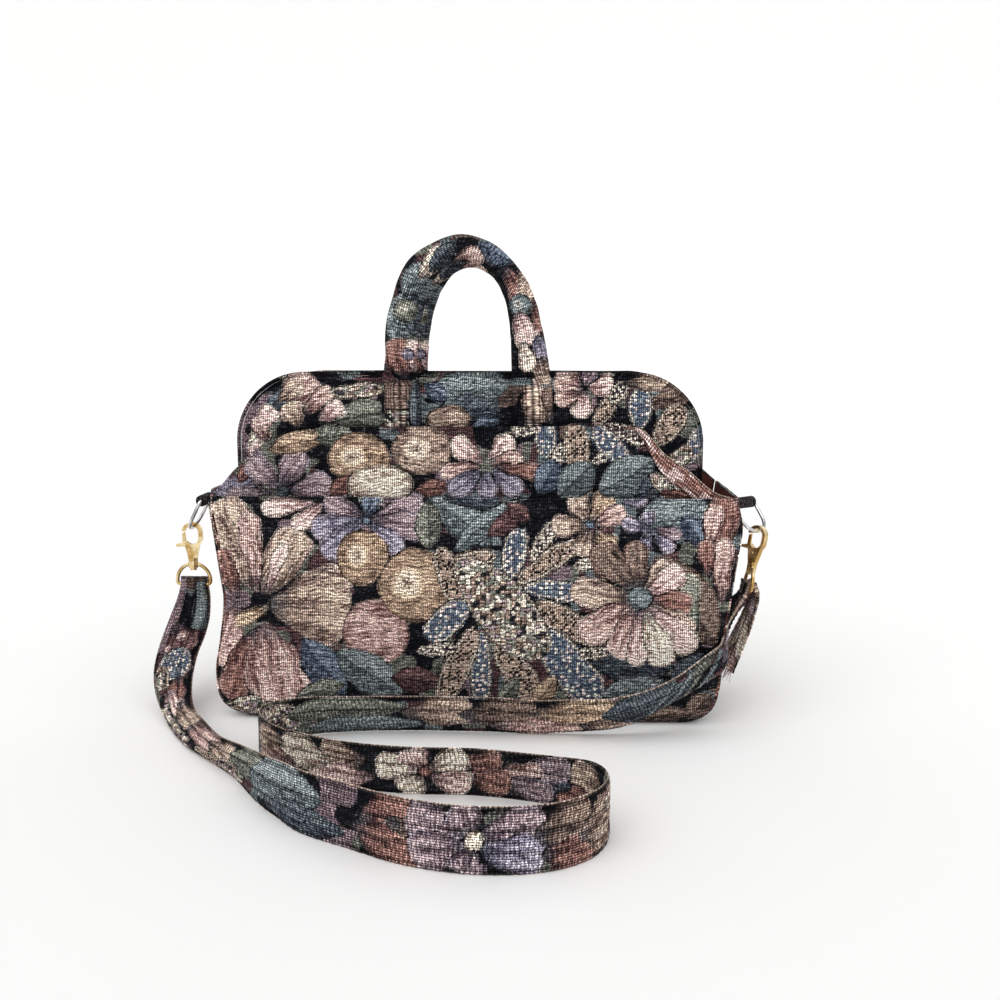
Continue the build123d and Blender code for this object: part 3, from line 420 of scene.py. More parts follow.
def tapestry_print(u, v, fields, seed=1):
    """Colours a cloth. u and v are places on it in millimetres, which wander by half of wander at
    most. The ground is navy with blots of other lots where a slow noise is above blot_level, and
    each field of the print covers what lies under it. Returns the colour and how far each point is
    from the nearest outline."""
    wander, blot_level = 1.8, 0.56
    shape = u.shape
    u, v = u.ravel(), v.ravel()
    u, v = (u + wander * noise(u / 9, v / 9, seed) - wander / 2,
            v + wander * noise(u / 9, v / 9, seed + 1) - wander / 2)
    weft = noise(u * 0.13, v * 0.85, seed + 2) + 0.6 * noise(u * 0.4, v * 1.6, seed + 3) - 0.8
    tint = mixed("navy", 0.25 + 0.6 * weft + 0.5 * (noise(u * 0.6, v * 1.2, seed + 4) > 0.8))
    blots = noise(u / 13, v / 10, seed + 6)
    other = choice(("brown", "teal", "wine", "sage", "mauve"), noise(u / 30, v / 26, seed + 8), 0.22 + 0.5 * weft)
    tint = np.where((blots > blot_level)[:, None], other, tint)
    edge = np.full(u.shape, FAR)
    for kind, x0, y0, x1, y1, w, lot in fields:
        if kind == "ball":
            reach, mid = max(x1, y1) + 2, (x0, y0)
        else:
            reach, mid = np.hypot(x1 - x0, y1 - y0) / 2 + w + 2, ((x0 + x1) / 2, (y0 + y1) / 2)
        i = np.flatnonzero((abs(u - mid[0]) < reach) & (abs(v - mid[1]) < reach))
        if not len(i):
            continue
        if kind == "ball":
            colour, far = ball_field(u[i], v[i], weft[i], x0, y0, x1, y1, w, lot, seed)
        else:
            colour, far = long_field(kind, u[i], v[i], weft[i], x0, y0, x1, y1, w, lot, seed)
        lies = far > 0
        tint[i[lies]] = colour[lies]
        edge[i[lies]] = np.minimum(far[lies], FAR)
    return tint.reshape(*shape, 3), edge.reshape(shape)


def moved(fields, du, dv=0.0, mirror=False):
    """The same fields of print moved by du and dv, or first turned left to right."""
    sign = -1 if mirror else 1
    found = []
    for kind, x0, y0, x1, y1, w, lot in fields:
        end = (x1, y1) if kind == "ball" else (sign * x1 + du, y1 + dv)
        found.append((kind, sign * x0 + du, y0 + dv, *end, w, lot))
    return tuple(found)


TOTE_PRINT = POCKET_PRINT + WALL_PRINT
FRONT_PRINT = WALL_PRINT + PANEL_PRINT
REAR_PRINT = moved(TOTE_PRINT + PANEL_PRINT, 20, 0, True)


# ---- Meshes

class Cloth:
    """Grids of points gathered into one mesh, with a colour and a place on the cloth at each point."""

    def __init__(self):
        self.points, self.tint, self.place, self.faces, self.slots, self.count = [], [], [], [], [], 0

    def put(self, points, tint, place, faces, slot=0):
        """Adds points (n, 3), their colours, their places (u, v, distance from an outline) and faces."""
        points = np.asarray(points, float).reshape(-1, 3)
        self.points.append(points)
        for kept, values in ((self.tint, tint), (self.place, place)):
            kept.append(np.broadcast_to(np.asarray(values, float).reshape(-1, 3), points.shape))
        self.join(faces + self.count, slot)
        self.count += len(points)

    def join(self, faces, slot=0):
        """Adds faces between points that are there."""
        self.faces.append(faces)
        self.slots.append(np.full(len(faces), slot))

    def grid(self, points, tint, place, around=False, slot=0):
        """A grid of points, whose columns close on themselves where around is true."""
        self.put(points, tint, place, grid_faces(*points.shape[:2], around), slot)

    def object(self, name, materials, replaces=(), sharp=50, weld=0.002):
        """Makes the mesh, merges points that meet, turns its faces outwards and lets it ride the bag."""
        mesh = bpy.data.meshes.new(name)
        faces = [face for block in self.faces for face in block.tolist()]
        mesh.from_pydata((np.vstack(self.points) * MM).tolist(), [], faces)
        colour = np.ones((self.count, 4))
        colour[:, :3] = np.vstack(self.tint)
        mesh.attributes.new("tint", "FLOAT_COLOR", "POINT").data.foreach_set("color", colour.ravel())
        place = np.vstack(self.place)
        mesh.attributes.new("cloth", "FLOAT_VECTOR", "POINT").data.foreach_set("vector", place.ravel())
        for material in materials:
            mesh.materials.append(material)
        mesh.polygons.foreach_set("material_index", np.concatenate(self.slots).astype(int))
        work = bmesh.new()
        work.from_mesh(mesh)
        bmesh.ops.remove_doubles(work, verts=work.verts, dist=weld * MM)
        bmesh.ops.recalc_face_normals(work, faces=work.faces)
        work.to_mesh(mesh)
        work.free()
        piece = shaded(name, mesh, sharp)
        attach(piece, "bag")
        if replaces:
            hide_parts(*replaces)
        return piece


def linked(name, data):
    """A new object in the scene."""
    piece = bpy.data.objects.new(name, data)
    bpy.context.scene.collection.objects.link(piece)
    return piece


def shaded(name, mesh, sharp=None):
    """A mesh's object, shaded smooth except over edges that turn by more than sharp degrees."""
    mesh.polygons.foreach_set("use_smooth", np.ones(len(mesh.polygons), bool))
    if sharp is not None:
        mesh.set_sharp_from_angle(angle=radians(sharp))
    return linked(name, mesh)


def grid_faces(rows, columns, around=False):
    """The four corners of each square of a grid, as rows of point numbers."""
    i, j = crossed(np.arange(rows - 1), np.arange(columns if around else columns - 1))
    k = (j + 1) % columns
    return np.stack([i * columns + j, i * columns + k, (i + 1) * columns + k, (i + 1) * columns + j], -1).reshape(-1, 4)


def border(rows, columns):
    """The point numbers round a grid's edge, once round."""
    n = np.arange(rows * columns).reshape(rows, columns)
    return np.concatenate([n[0, :-1], n[:-1, -1], n[-1, :0:-1], n[:0:-1, 0]])


def crossed(rows, columns):
    """Two grids: each point's row value, and its column value."""
    return np.meshgrid(rows, columns, indexing="ij")


def spaced(low, high, step):
    """Evenly spaced numbers about a step apart, whose count of steps is a multiple of the stride."""
    count = max(1, int(round(abs(high - low) / step / STRIDE))) * STRIDE
    return np.linspace(low, high, count + 1)


def unit(vectors):
    """The same directions with length 1."""
    return vectors / np.maximum(np.linalg.norm(vectors, axis=-1, keepdims=True), 1e-9)


def facing(points):
    """Each grid point's normal: the cross product of its steps along the columns and the rows."""
    return unit(np.cross(np.gradient(points, axis=1), np.gradient(points, axis=0)))


def length_along(path):
    """The distance from a path's start to each of its points."""
    return np.concatenate([[0], np.cumsum(np.linalg.norm(np.diff(path, axis=0), axis=1))])


def across(path, side):
    """Two directions at right angles to a path at each point: the one nearest side, and the third."""
    along, side = unit(np.gradient(path, axis=0)), np.array(side, float)
    deep = unit(side - along * (along @ side)[:, None])
    return deep, np.cross(along, deep)


def capped(points, first, last, *others):
    """Rings of points with a pole at each end, and other values with their end rows repeated."""
    poles = [np.repeat(pole[None, None], points.shape[1], 1) for pole in (first, last)]
    return np.concatenate([poles[0], points, poles[1]]), *[np.concatenate([v[:1], v, v[-1:]]) for v in others]


def cloth_panel(cloth, front, tint, edge, thick, uv, push=None):
    """A closed sheet: the front grid, a coarser grid of lining thick behind it along its normals or
    along push, and triangles round the rim that join each coarse step to its finer ones."""
    behind = facing(front) * -thick if push is None else np.array(push, float)
    rear = (front + behind)[::STRIDE, ::STRIDE]
    place = np.stack([*uv, edge], -1)
    cloth.grid(front, tint, place)
    start = cloth.count
    cloth.grid(rear, np.broadcast_to(COTTON, rear.shape), place[::STRIDE, ::STRIDE], slot=1)
    fine = border(*front.shape[:2]) + start - front.shape[0] * front.shape[1]
    here = border(*rear.shape[:2]) + start
    there, turns = np.roll(here, -1), np.arange(len(here)) * STRIDE
    for k in range(STRIDE):
        apex = here if k < STRIDE / 2 else there
        cloth.join(np.stack([fine[turns + k], fine[(turns + k + 1) % len(fine)], apex], -1))
    cloth.join(np.stack([fine[turns + (STRIDE + 1) // 2], there, here], -1))


def sheet(name, materials, node, front, tint, edge, thick, uv, push=None):
    """A piece that is one closed sheet, in place of one CAD solid."""
    cloth = Cloth()
    cloth_panel(cloth, front, tint, edge, thick, uv, push)
    cloth.object(name, materials, replaces=[node])


def tube(cloth, path, radius, paint, sides, side=(0, 1, 0), depth=None):
    """A closed tube: oval sections at right angles to the path, with a pole at each end. depth is
    the half-width along side, and radius, one number or one at each point, is the other."""
    deep_way, wide_way = across(path, side)
    wide = np.broadcast_to(radius, (len(path),))[:, None, None]
    deep = wide if depth is None else depth
    turn = np.linspace(0, 2 * pi, sides, endpoint=False)
    ring = turn[None, :, None]
    points = path[:, None] + wide_way[:, None] * np.cos(ring) * wide + deep_way[:, None] * np.sin(ring) * deep
    points, run = capped(points, path[0], path[-1], length_along(path)[:, None] + 0 * turn)
    around = turn * float(np.mean(radius)) + 0 * run
    tint, edge = paint(points, run, around)
    cloth.grid(points, tint, np.stack([around, run, edge], -1), around=True)


# ---- Shaders

class Wire:
    """A node's output in Python sums: each operator adds the Math node that it stands for."""

    def __init__(self, finish, socket):
        self.finish, self.socket = finish, socket

    def _math(self, operation, first, second=None, third=None):
        values = {i: v for i, v in enumerate((first, second, third)) if v is not None}
        return self.finish.node("ShaderNodeMath", {"operation": operation}, values)

    def __add__(self, other):
        return self._math("ADD", self, other)

    def __sub__(self, other):
        return self._math("SUBTRACT", self, other)

    def __rsub__(self, other):
        return self._math("SUBTRACT", other, self)

    def __mul__(self, other):
        return self._math("MULTIPLY", self, other)

    def __truediv__(self, other):
        return self._math("DIVIDE", self, other)

    __radd__, __rmul__ = __add__, __mul__

    def sine(self):
        return self._math("SINE", self)

    def between(self, low, high):
        """0 below low, 1 above high, and a smooth step between."""
        values = {"Value": self, "From Min": low, "From Max": high}
        return self.finish.node("ShaderNodeMapRange", {"interpolation_type": "SMOOTHSTEP"}, values)


class Finish:
    """A material built from a Principled shader and the nodes that feed it."""

    def __init__(self, name):
        self.material = bpy.data.materials.new(name)
        self.material.use_nodes = True
        self.tree = self.material.node_tree
        self.shader = self.tree.nodes["Principled BSDF"]

    def node(self, kind, settings=None, inputs=None, output=0):
        """Adds a node: its settings first, then the values or links of its sockets."""
        node = self.tree.nodes.new(kind)
        for key, value in (settings or {}).items():
            setattr(node, key, value)
        for key, value in (inputs or {}).items():
            if isinstance(value, Wire):
                self.tree.links.new(value.socket, node.inputs[key])
            else:
                node.inputs[key].default_value = value
        return Wire(self, node.outputs[output])

    def attribute(self, name, output="Vector"):
        return self.node("ShaderNodeAttribute", {"attribute_name": name}, output=output)

    def parts(self, vector):
        return [self.node("ShaderNodeSeparateXYZ", {}, {0: vector}, output=i) for i in range(3)]

    def vector(self, x, y, z=0.0):
        return self.node("ShaderNodeCombineXYZ", {}, {0: x, 1: y, 2: z})

    def noise(self, vector, scale=1.0, detail=2.0, rough=0.5):
        inputs = {"Vector": vector, "Scale": scale, "Detail": detail, "Roughness": rough}
        return self.node("ShaderNodeTexNoise", {}, inputs, output="Fac")

    def mix(self, factor, first, second, blend="MIX"):
        settings = {"data_type": "RGBA", "blend_type": blend}
        return self.node("ShaderNodeMix", settings, {0: factor, 6: first, 7: second}, output=2)

    def scaled(self, colour, amount):
        """A colour times a number that varies over the surface."""
        return self.mix(1.0, colour, amount, "MULTIPLY")

    def place(self, scale=1000.0):
        """The object's own coordinates, in millimetres for a scale of 1000."""
        vector = self.node("ShaderNodeTexCoord", {}, output="Object")
        return self.node("ShaderNodeVectorMath", {"operation": "SCALE"}, {0: vector, "Scale": scale})

    def bump(self, height, distance, strength=1.0):
        return self.node("ShaderNodeBump", {}, {"Strength": strength, "Distance": distance, "Height": height})

    def surface(self, **values):
        """Sets or links the shader's sockets, written with _ for a space."""
        for key, value in values.items():
            socket = self.shader.inputs[key.replace("_", " ")]
            if isinstance(value, Wire):
                self.tree.links.new(value.socket, socket)
            else:
                socket.default_value = value
        return self.material


def rgba(colour):
    return (*[float(c) for c in colour], 1.0)


def tapestry(name, settings, rib=None, line=None):
    """Jacquard cloth: the printed tint times its ribs, its weft streaks and its thread noise, with
    a dark outline where the distance that the cloth carries is small. The ribs, the picks and the
    streaks are sines of the place on the cloth, which wander with a slow noise."""
    f = Finish(name)
    pitch = settings.rib_pitch / MM if rib is None else rib
    width = settings.outline / MM if line is None else line
    pick_pitch, streak_pitch = 0.9, 2.3
    u, v, far = f.parts(f.attribute("cloth"))
    tint = f.attribute("tint", "Color")
    wander = f.noise(f.vector(u * 0.2, v * 0.2), detail=1.0)
    ribs = ((u + wander * 0.6) * (2 * pi / pitch)).sine() * 0.5 + 0.5
    picks = ((v + wander * 0.8) * (2 * pi / pick_pitch)).sine()
    dash = f.noise(f.vector(u * 0.34, v * 1.5), detail=2.0, rough=0.6)
    thread = f.noise(f.vector(u * 1.3, v * 1.9, 7.0), detail=2.0, rough=0.7)
    bend = f.noise(f.vector(u * 0.11, v * 0.11, 3.0), detail=1.0)
    wave = ((v + bend * 5.0) * (2 * pi / streak_pitch)).sine()
    gap = wave.between(0.25, 0.8) * dash.between(0.38, 0.5)
    lit = (wave * -1.0).between(0.2, 0.9) * thread.between(0.36, 0.56)
    long = dash.between(0.40, 0.60)
    short = thread.between(0.38, 0.64)
    light = (long * 0.9 + 0.24) * (ribs * 1.3 + 0.26) * (short * 1.6 + 0.2) * settings.contrast + 0.02
    rim = far.between(0.2, 2.2) * 0.26 + 0.77
    light = light * (1.0 - gap * 0.46) * (lit * 0.5 + 0.9) * rim
    drawn = (far + (thread - 0.5) * 1.1).between(width * 0.4, width)
    weights = {0: tint, 1: (0.3, 0.5, 0.2)}
    bright = f.node("ShaderNodeVectorMath", {"operation": "DOT_PRODUCT"}, weights, output="Value")
    shows = ((long + lit) * 0.5 * short * (ribs * 0.6 + 0.4)).between(0.3, 0.85)
    warp = shows * bright.between(0.004, 0.06) * 0.55
    pale_warp = rgba(shade(228, 216, 208))
    yarn = f.mix(warp, f.scaled(tint, light), pale_warp)
    colour = f.mix(drawn, rgba(DYES["navy"][0]), yarn)
    height = ribs * 0.6 + thread * 0.8 + drawn * 0.3 + picks * 0.1
    return f.surface(Base_Color=colour, Roughness=(thread - 0.5) * 0.2 + 0.86, Specular_IOR_Level=0.05,
                     Sheen_Weight=settings.sheen, Sheen_Roughness=0.5,
                     Normal=f.bump(height, settings.relief))


def cotton(name, colour):
    """Plain-woven lining: two sets of threads as sines of the object's coordinates."""
    f = Finish(name)
    x, y, z = f.parts(f.place())
    pitch = 0.7
    warp = ((x + y) * (2 * pi / pitch)).sine()
    weft = (z * (2 * pi / pitch)).sine()
    cloudy = f.noise(f.place(60.0), detail=3.0)
    base = f.scaled(rgba(colour), warp * 0.07 + weft * 0.07 + (cloudy - 0.5) * 0.5 + 1.0)
    return f.surface(Base_Color=base, Roughness=0.9 + cloudy * 0.05, Specular_IOR_Level=0.2,
                     Normal=f.bump(warp * 0.5 + weft * 0.5 + cloudy, 0.0001))


METAL_ROUGH = 0.10


def metal(name, colour, painted_reflection):
    """Cast or drawn metal: a base colour that darkens in patches of painted reflection, fine scratches and soft dents.
    """
    f = Finish(name)
    cloudy = f.noise(f.place(90.0), detail=4.0, rough=0.6)
    fine = f.noise(f.place(900.0), detail=2.0)
    # Painted reflection: where the slow noise is low, the base colour darkens in patches, standing in for the dark
    # surroundings that polished metal would mirror.
    base = f.mix(cloudy.between(0.4, 0.62), rgba(painted_reflection), rgba(colour))
    return f.surface(Base_Color=base, Metallic=1.0, Roughness=cloudy * 0.14 + fine * 0.06 + METAL_ROUGH,
                     Normal=f.bump(cloudy + fine * 0.2, 0.00012))


def board(name, colour):
    """Pressed board or foam: fibres as fine and coarse noise."""
    f = Finish(name)
    fibre = f.noise(f.place(350.0), detail=4.0)
    speckle = f.noise(f.place(1200.0), detail=2.0)
    base = f.scaled(rgba(colour), fibre * 0.5 + speckle * 0.3 + 0.6)
    return f.surface(Base_Color=base, Roughness=0.85 + fibre * 0.1, Normal=f.bump(fibre + speckle * 0.5, 0.0002))


def dark_cloth(name):
    """Near-black tapestry with pale specks, drawn on the object's own coordinates."""
    f = Finish(name)
    x, y, z = f.parts(f.place())
    thread = f.noise(f.vector(x * 0.8, y * 0.9, z * 1.6), detail=3.0, rough=0.7)
    speck = f.noise(f.place(1100.0), detail=1.0).between(0.52, 0.66)
    base = f.mix(speck * 0.7, rgba(DYES["navy"][0]), rgba(DYES["mauve"][1]))
    ribs = (y * (2 * pi / 1.6)).sine()
    return f.surface(Base_Color=f.scaled(base, thread * 0.8 + 0.6), Roughness=0.85 + speck * 0.1,
                     Specular_IOR_Level=0.2, Normal=f.bump(ribs * 0.4 + thread, 0.0003))


# ---- The bag's own outlines, in millimetres

# How far out the sides stand at each height: the pocket's two edges in front, and the gussets.
LEFT_EDGE = ((0, -149.5), (5, -157), (11, -162.5), (32, -165.5), (55, -162), (79, -159.5), (96, -161),
             (120, -164), (140, -168), (149, -168.5))
RIGHT_EDGE = ((0, 151), (5, 157), (11, 161.5), (23, 165), (50, 167), (90, 172.5), (112, 176), (129, 178.5),
              (142, 176.5), (149, 175))
SIDE_EDGE = ((0, 146), (4, 153), (12.5, 158.5), (60, 164.5), (110, 171), (149, 176))
# How far forward the pocket's face stands at each height.
POCKET_FACE = ((0, -51.5), (3, -55), (9, -58.3), (24, -60.6), (42, -61.5), (70, -60.2), (100, -56.8),
               (125, -53.2), (149, -50.2))
# The front wall's top edge, which slopes down to the pocket's corners.
WALL_EDGE = ((-172, 146), (-165, 151), (-153, 164), (-133, 181), (-118, 187.5), (-105, 190.5), (-79, 192),
             (0, 192.4), (60, 193), (100, 193.2), (112, 192.5), (119, 186), (127, 176.5), (145, 163.5),
             (160, 151), (173, 146.5))
REAR_EDGE = ((-176, 149), (-156, 166), (-134, 181), (-112, 191), (-80, 192), (80, 192), (112, 191), (134, 181),
             (156, 166), (176, 149))
# The compartment's panels: their top, half-width, corner radius, and how far each stands from the middle.
PANEL_TOP, PANEL_HALF, PANEL_CORNER, PANEL_OUT = 226.0, 152.0, 44.0, 28.9
SIDE_HALF = 27.4  # Half the width of the strip round the compartment's sides.
GUSSET_REAR = 41.2  # Where the tote's sides meet its rear wall.
# The zip's height, its tapes' half-length, how far each stands from the middle, and its teeth's pitch.
ZIP_LEVEL, ZIP_HALF, ZIP_GAP, TOOTH_PITCH = 221.0, 105.8, 0.75, 2.4
STRAP_HALF = 17.0
STRAP_SEAMS = (-0.86, -0.33, 0.3, 0.86)  # Across the strap, where its half-width is 1.
HANDLE_SEAMS = (44, 244)  # Along a handle, where its padding ends.


def panel_half(z, inset=0.0):
    """Half the compartment's width at height z: straight, then a quarter circle to the top."""
    rise = np.clip(z - (PANEL_TOP - PANEL_CORNER), 0, PANEL_CORNER)
    return PANEL_HALF - inset - PANEL_CORNER + np.sqrt(np.maximum(PANEL_CORNER ** 2 - rise ** 2, 0))


def compartment_line(count):
    """The left half of the compartment's outline, from the top at the corner's start, round the
    corner and down the side: x, z and the distance run. The right half is its mirror image."""
    turn = np.linspace(pi / 2, pi, count // 2)
    x = -(PANEL_HALF - PANEL_CORNER) + PANEL_CORNER * np.cos(turn)
    z = PANEL_TOP - PANEL_CORNER + PANEL_CORNER * np.sin(turn)
    down = np.linspace(z[-1], 5, count - count // 2 + 1)[1:]
    x, z = np.concatenate([x, np.full(len(down), -PANEL_HALF)]), np.concatenate([z, down])
    run = np.concatenate([[0], np.cumsum(np.hypot(np.diff(x), np.diff(z)))])
    return x, z, run


def pleats(x, z, seed, size=0.5):
    """Soft unevenness of hanging cloth: smooth noise, longer upright than across."""
    return size * (noise(x / 26, z / 60, seed) + 0.5 * noise(x / 11, z / 24, seed + 1) - 0.75)


def make_pocket(materials):
    """The front pocket: between its two edges, standing forward by its face line, rounded back
    over its last few millimetres at each side, gathered a little under the mouth."""
    zz, uu = crossed(spaced(0.3, 147.6, 0.85), spaced(-1, 1, 2 / 404))
    left, right = flow(LEFT_EDGE, zz), flow(RIGHT_EDGE, zz)
    x = left + (right - left) * (uu + 1) / 2
    mouth = smooth(118, 148, zz)
    round_back = 5.5 * (np.clip(abs(uu) - 0.93, 0, 1) / 0.07) ** 2
    y = flow(POCKET_FACE, zz) + round_back - pleats(x, zz, 21, 1.5) * (1 - 0.5 * mouth)
    y = y + mouth * 0.5 * np.sin(x / 9.5 + 1.2 * np.sin(x / 31)) * smooth(1, 0.9, abs(uu))
    sag = 0.8 * noise(x / 40, zz * 0, 23) * mouth
    front = np.stack([x, y, zz - sag], -1)
    tint, edge = tapestry_print(x, zz, POCKET_PRINT)
    # Painted shade: the pocket's colour darkens over its lowest 14 mm, where its face curves under towards the floor.
    painted_foot_shade = 0.72 + 0.28 * smooth(0, 14, zz)
    sheet("pocket_front", materials, "front_pocket", front, tint * painted_foot_shade[..., None], edge, 1.8, (x, zz))

    def paint(points, run, around):
        return tapestry_print(points[..., 0], 146 + around * 0.4, POCKET_PRINT)

    hem = Cloth()
    tube(hem, front[-1, 3:-3] + np.array([0, 0.9, 0.2]), 0.75, paint, sides=10, depth=1.35)
    hem.object("pocket_hem", materials, replaces=["pocket_binding"])


def make_wall(name, node, line, y, fields, materials, is_front, seed):
    """One tote wall: columns between the side edges, and rows from its foot up to the sloped top
    edge, which are coarser up to 140 mm, behind the pocket. Returns the points of its top edge."""
    hidden_rows, step, columns = (21, 0.9, 388) if is_front else (107, 1.2, 272)
    foot = 3
    low = np.concatenate([np.linspace(foot, 140, hidden_rows)[:-1], spaced(140, 200, step)])
    count = (len(low) - 1) // STRIDE * STRIDE + 1
    tt, uu = crossed((low[:count] - low[0]) / (low[count - 1] - low[0]), spaced(-1, 1, 2 / columns))
    reach = (line[-1][0] - line[0][0]) / 2
    x_top = (line[-1][0] + line[0][0]) / 2 + uu * reach
    zz = foot + (flow(line, x_top) - foot) * tt
    half = np.minimum(flow(SIDE_EDGE, zz) - 2.4, reach + 3)
    x = x_top * np.minimum(half / reach, 1.0)
    if is_front:
        front_y = y - 0.4 - pleats(x, zz, seed, 1.1) - 0.8 * smooth(150, 186, zz)
    else:
        front_y = y + 0.3 + pleats(x, zz, seed, 1.6) + 1.2 * smooth(190, 90, zz) * smooth(0, 40, zz)
    front = np.stack([x, front_y, zz], -1)
    thick = 1.7
    sheet(name, materials, node, front, *tapestry_print(x, zz, fields), thick, (x, zz),
          (0, thick if is_front else -thick, 0))
    return front[-1]


def folded_edge(cloth, y):
    """The band at the wall's right shoulder where the edge is folded out: it starts on the top
    edge, is as wide as the fold, and bulges forward by a sine across it."""
    ww, ss = crossed(spaced(0, 1, 1 / 12), spaced(0, 1, 1 / 92))
    s = ss[0]
    edge_x = 101 + 71 * s
    top_z = flow(WALL_EDGE, edge_x)
    width = 1.5 + 12.5 * smooth(0.0, 0.55, s) * smooth(1.12, 0.8, s)
    slope = np.gradient(top_z, edge_x)
    tilt = np.stack([slope, -np.ones_like(slope)], -1) / np.hypot(slope, 1)[:, None]
    px = edge_x + tilt[:, 0] * width * ww * 0.55
    py = y - 1.6 - 1.2 * np.sin(pi * ww) - 0.5 * noise(ss * 20, ww * 3, 9)
    pz = top_z + tilt[:, 1] * width * ww + 0.4
    stripe = np.sin(ww * width * 1.7 + 1.5 * noise(ss * 30, ww, 3))
    k = 0.35 + 0.45 * (stripe > 0.2) + 0.3 * (noise(ss * 60, ww * 9, 6) - 0.5)
    pinker = noise(ss * 14, ww * 2, 12) > 0.55
    colour = np.where(pinker[..., None], mixed("pink", k), mixed("rust", k))
    far = 0.4 + np.minimum(ww, 1 - ww) * width
    cloth_panel(cloth, np.stack([px, py, pz], -1), colour, far, 1.0, (edge_x + 0 * ww, ww * width), (0, 1.0, 0))


def make_wall_hem(name, top, y, materials, turned_out):
    """The wall's hem: a thin roll along the top edge, which pales towards the fold where the edge
    is turned out."""
    cloth = Cloth()

    def paint(points, run, around):
        k = 0.3 + 0.3 * noise(run / 4, around / 2, 8)
        dark, edge = tapestry_print(points[..., 0], points[..., 2] - 1.5, WALL_PRINT)
        fold = smooth(104, 122, points[..., 0])[..., None] * (1.0 if turned_out else 0.0)
        return dark * (1 - fold) + mixed("tan", k + 0.3) * fold, edge

    tube(cloth, top + np.array([0, 0.8 if y < 0 else -0.8, 0.1]), 0.9, paint, sides=10, depth=1.35)
    if turned_out:
        folded_edge(cloth, y)
    cloth.object(name, materials)


def make_gusset(side, materials):
    """One side of the tote: from the pocket's edge in front to the rear wall, drawn in a little
    between them, and straight at the top where the ring's tab is sewn."""
    zz, vv = crossed(spaced(0.6, 148.6, 1.5), spaced(0, 1, 1 / 76))
    behind_face = 4.6
    y_front = flow(POCKET_FACE, zz) + behind_face
    yy = y_front + (GUSSET_REAR - y_front) * vv
    front_x = flow(LEFT_EDGE if side < 0 else RIGHT_EDGE, zz)
    x = front_x + (side * flow(SIDE_EDGE, zz) - front_x) * smooth(-46, -16, yy)
    dent = 3.4 * np.sin(pi * vv) ** 2 * smooth(8, 50, zz) * smooth(136, 104, zz) * smooth(-40, 6, yy)
    x = x - side * (dent + pleats(yy, zz, 31 + side, 1.2) * np.sin(pi * vv))
    front = np.stack([x, yy, zz], -1)
    fields = moved(TOTE_PRINT, 84 if side < 0 else -96)
    thick = 1.8
    cloth = Cloth()
    cloth_panel(cloth, front, *tapestry_print(yy, zz, fields), thick, (yy, zz), (-side * thick, 0, 0))

    def paint(points, run, around):
        return tapestry_print(points[..., 1], 148 + around, fields)

    path = front[-1, 1:-1] + np.array([-side * 0.9, 0, 0.2])
    tube(cloth, path, 1.1, paint, sides=8, side=(0, 0, 1), depth=0.8)
    word = "left" if side < 0 else "right"
    cloth.object(f"side_gusset_{word}", materials, replaces=[f"{word}_gusset"])


def make_base(materials):
    """The base: a flat cloth between the tote's walls, which turns up at its two ends to meet the
    gussets by the square of the distance into each end."""
    yy, xx = crossed(spaced(0, 1, 1 / 44), spaced(-1, 1, 2 / 130))
    half, front, depth, flat_share, height = 150.5, -50.6, 91.6, 0.965, 2.6
    px, py = xx * half, front + yy * depth
    lift = height * (np.clip(abs(xx) - flat_share, 0, 1) / 0.035) ** 2
    under = np.stack([px, py, 0.25 + lift], -1)
    tint, edge = tapestry_print(px, py, moved(TOTE_PRINT, 0, -90, True))
    sheet("base_cloth", materials, "base_panel", under, tint, edge, 1.2, (px, py), (0, 0, 1.2))


def make_panel(name, node, sign, fields, step, columns, materials):
    """One crowned panel of the compartment, whose rows follow the sines of the corners' angles."""
    low = np.concatenate([np.linspace(5, 150, 17)[:-1], np.arange(150, 182, step)])
    arc = PANEL_TOP - PANEL_CORNER + PANEL_CORNER * np.sin(spaced(0, pi / 2, step / PANEL_CORNER))
    z = np.concatenate([low, arc])
    z = z[len(z) - ((len(z) - 1) // STRIDE * STRIDE + 1):]
    zz, uu = crossed(z, spaced(-1, 1, 2 / columns))
    x = uu * panel_half(zz, 0.4)
    crown = 1.6 * (1 - uu ** 4) * smooth(4, 60, zz) * smooth(227, 196, zz)
    y = sign * (PANEL_OUT + crown + pleats(x, zz, 41, 0.5))
    tint, edge = tapestry_print(x, zz, fields)
    sheet(name, materials, node, np.stack([x, y, zz], -1), tint, edge, 1.2, (x, zz), (0, -sign * 1.2, 0))


def make_compartment_sides(materials):
    """The strip round the compartment, pulled in a little between its two piped edges."""
    cloth = Cloth()
    x, z, run = compartment_line(145)
    xx, vv = crossed(x, spaced(-1, 1, 2 / 40))
    zz, rr = z[:, None] + 0 * vv, run[:, None] + 0 * vv
    pull = 0.5 * (1 - vv ** 2) * smooth(10, 60, rr)
    outward = [xx + (PANEL_HALF - PANEL_CORNER), 0 * vv, np.clip(zz - (PANEL_TOP - PANEL_CORNER), 0, None)]
    left = np.stack([xx, vv * SIDE_HALF, zz], -1) - unit(np.stack(outward, -1)) * pull[..., None]
    tint, edge = tapestry_print(rr - 120, vv * SIDE_HALF + 90, TOTE_PRINT)
    right = (left * np.array([-1, 1, 1]))[:, ::-1]
    for front, colour, far in ((left, tint, edge), (right, tint[:, ::-1], edge[:, ::-1])):
        cloth_panel(cloth, front, colour, far, 1.2, (rr, vv * SIDE_HALF))
    cloth.object("compartment_sides", materials, replaces=["compartment_gusset"])


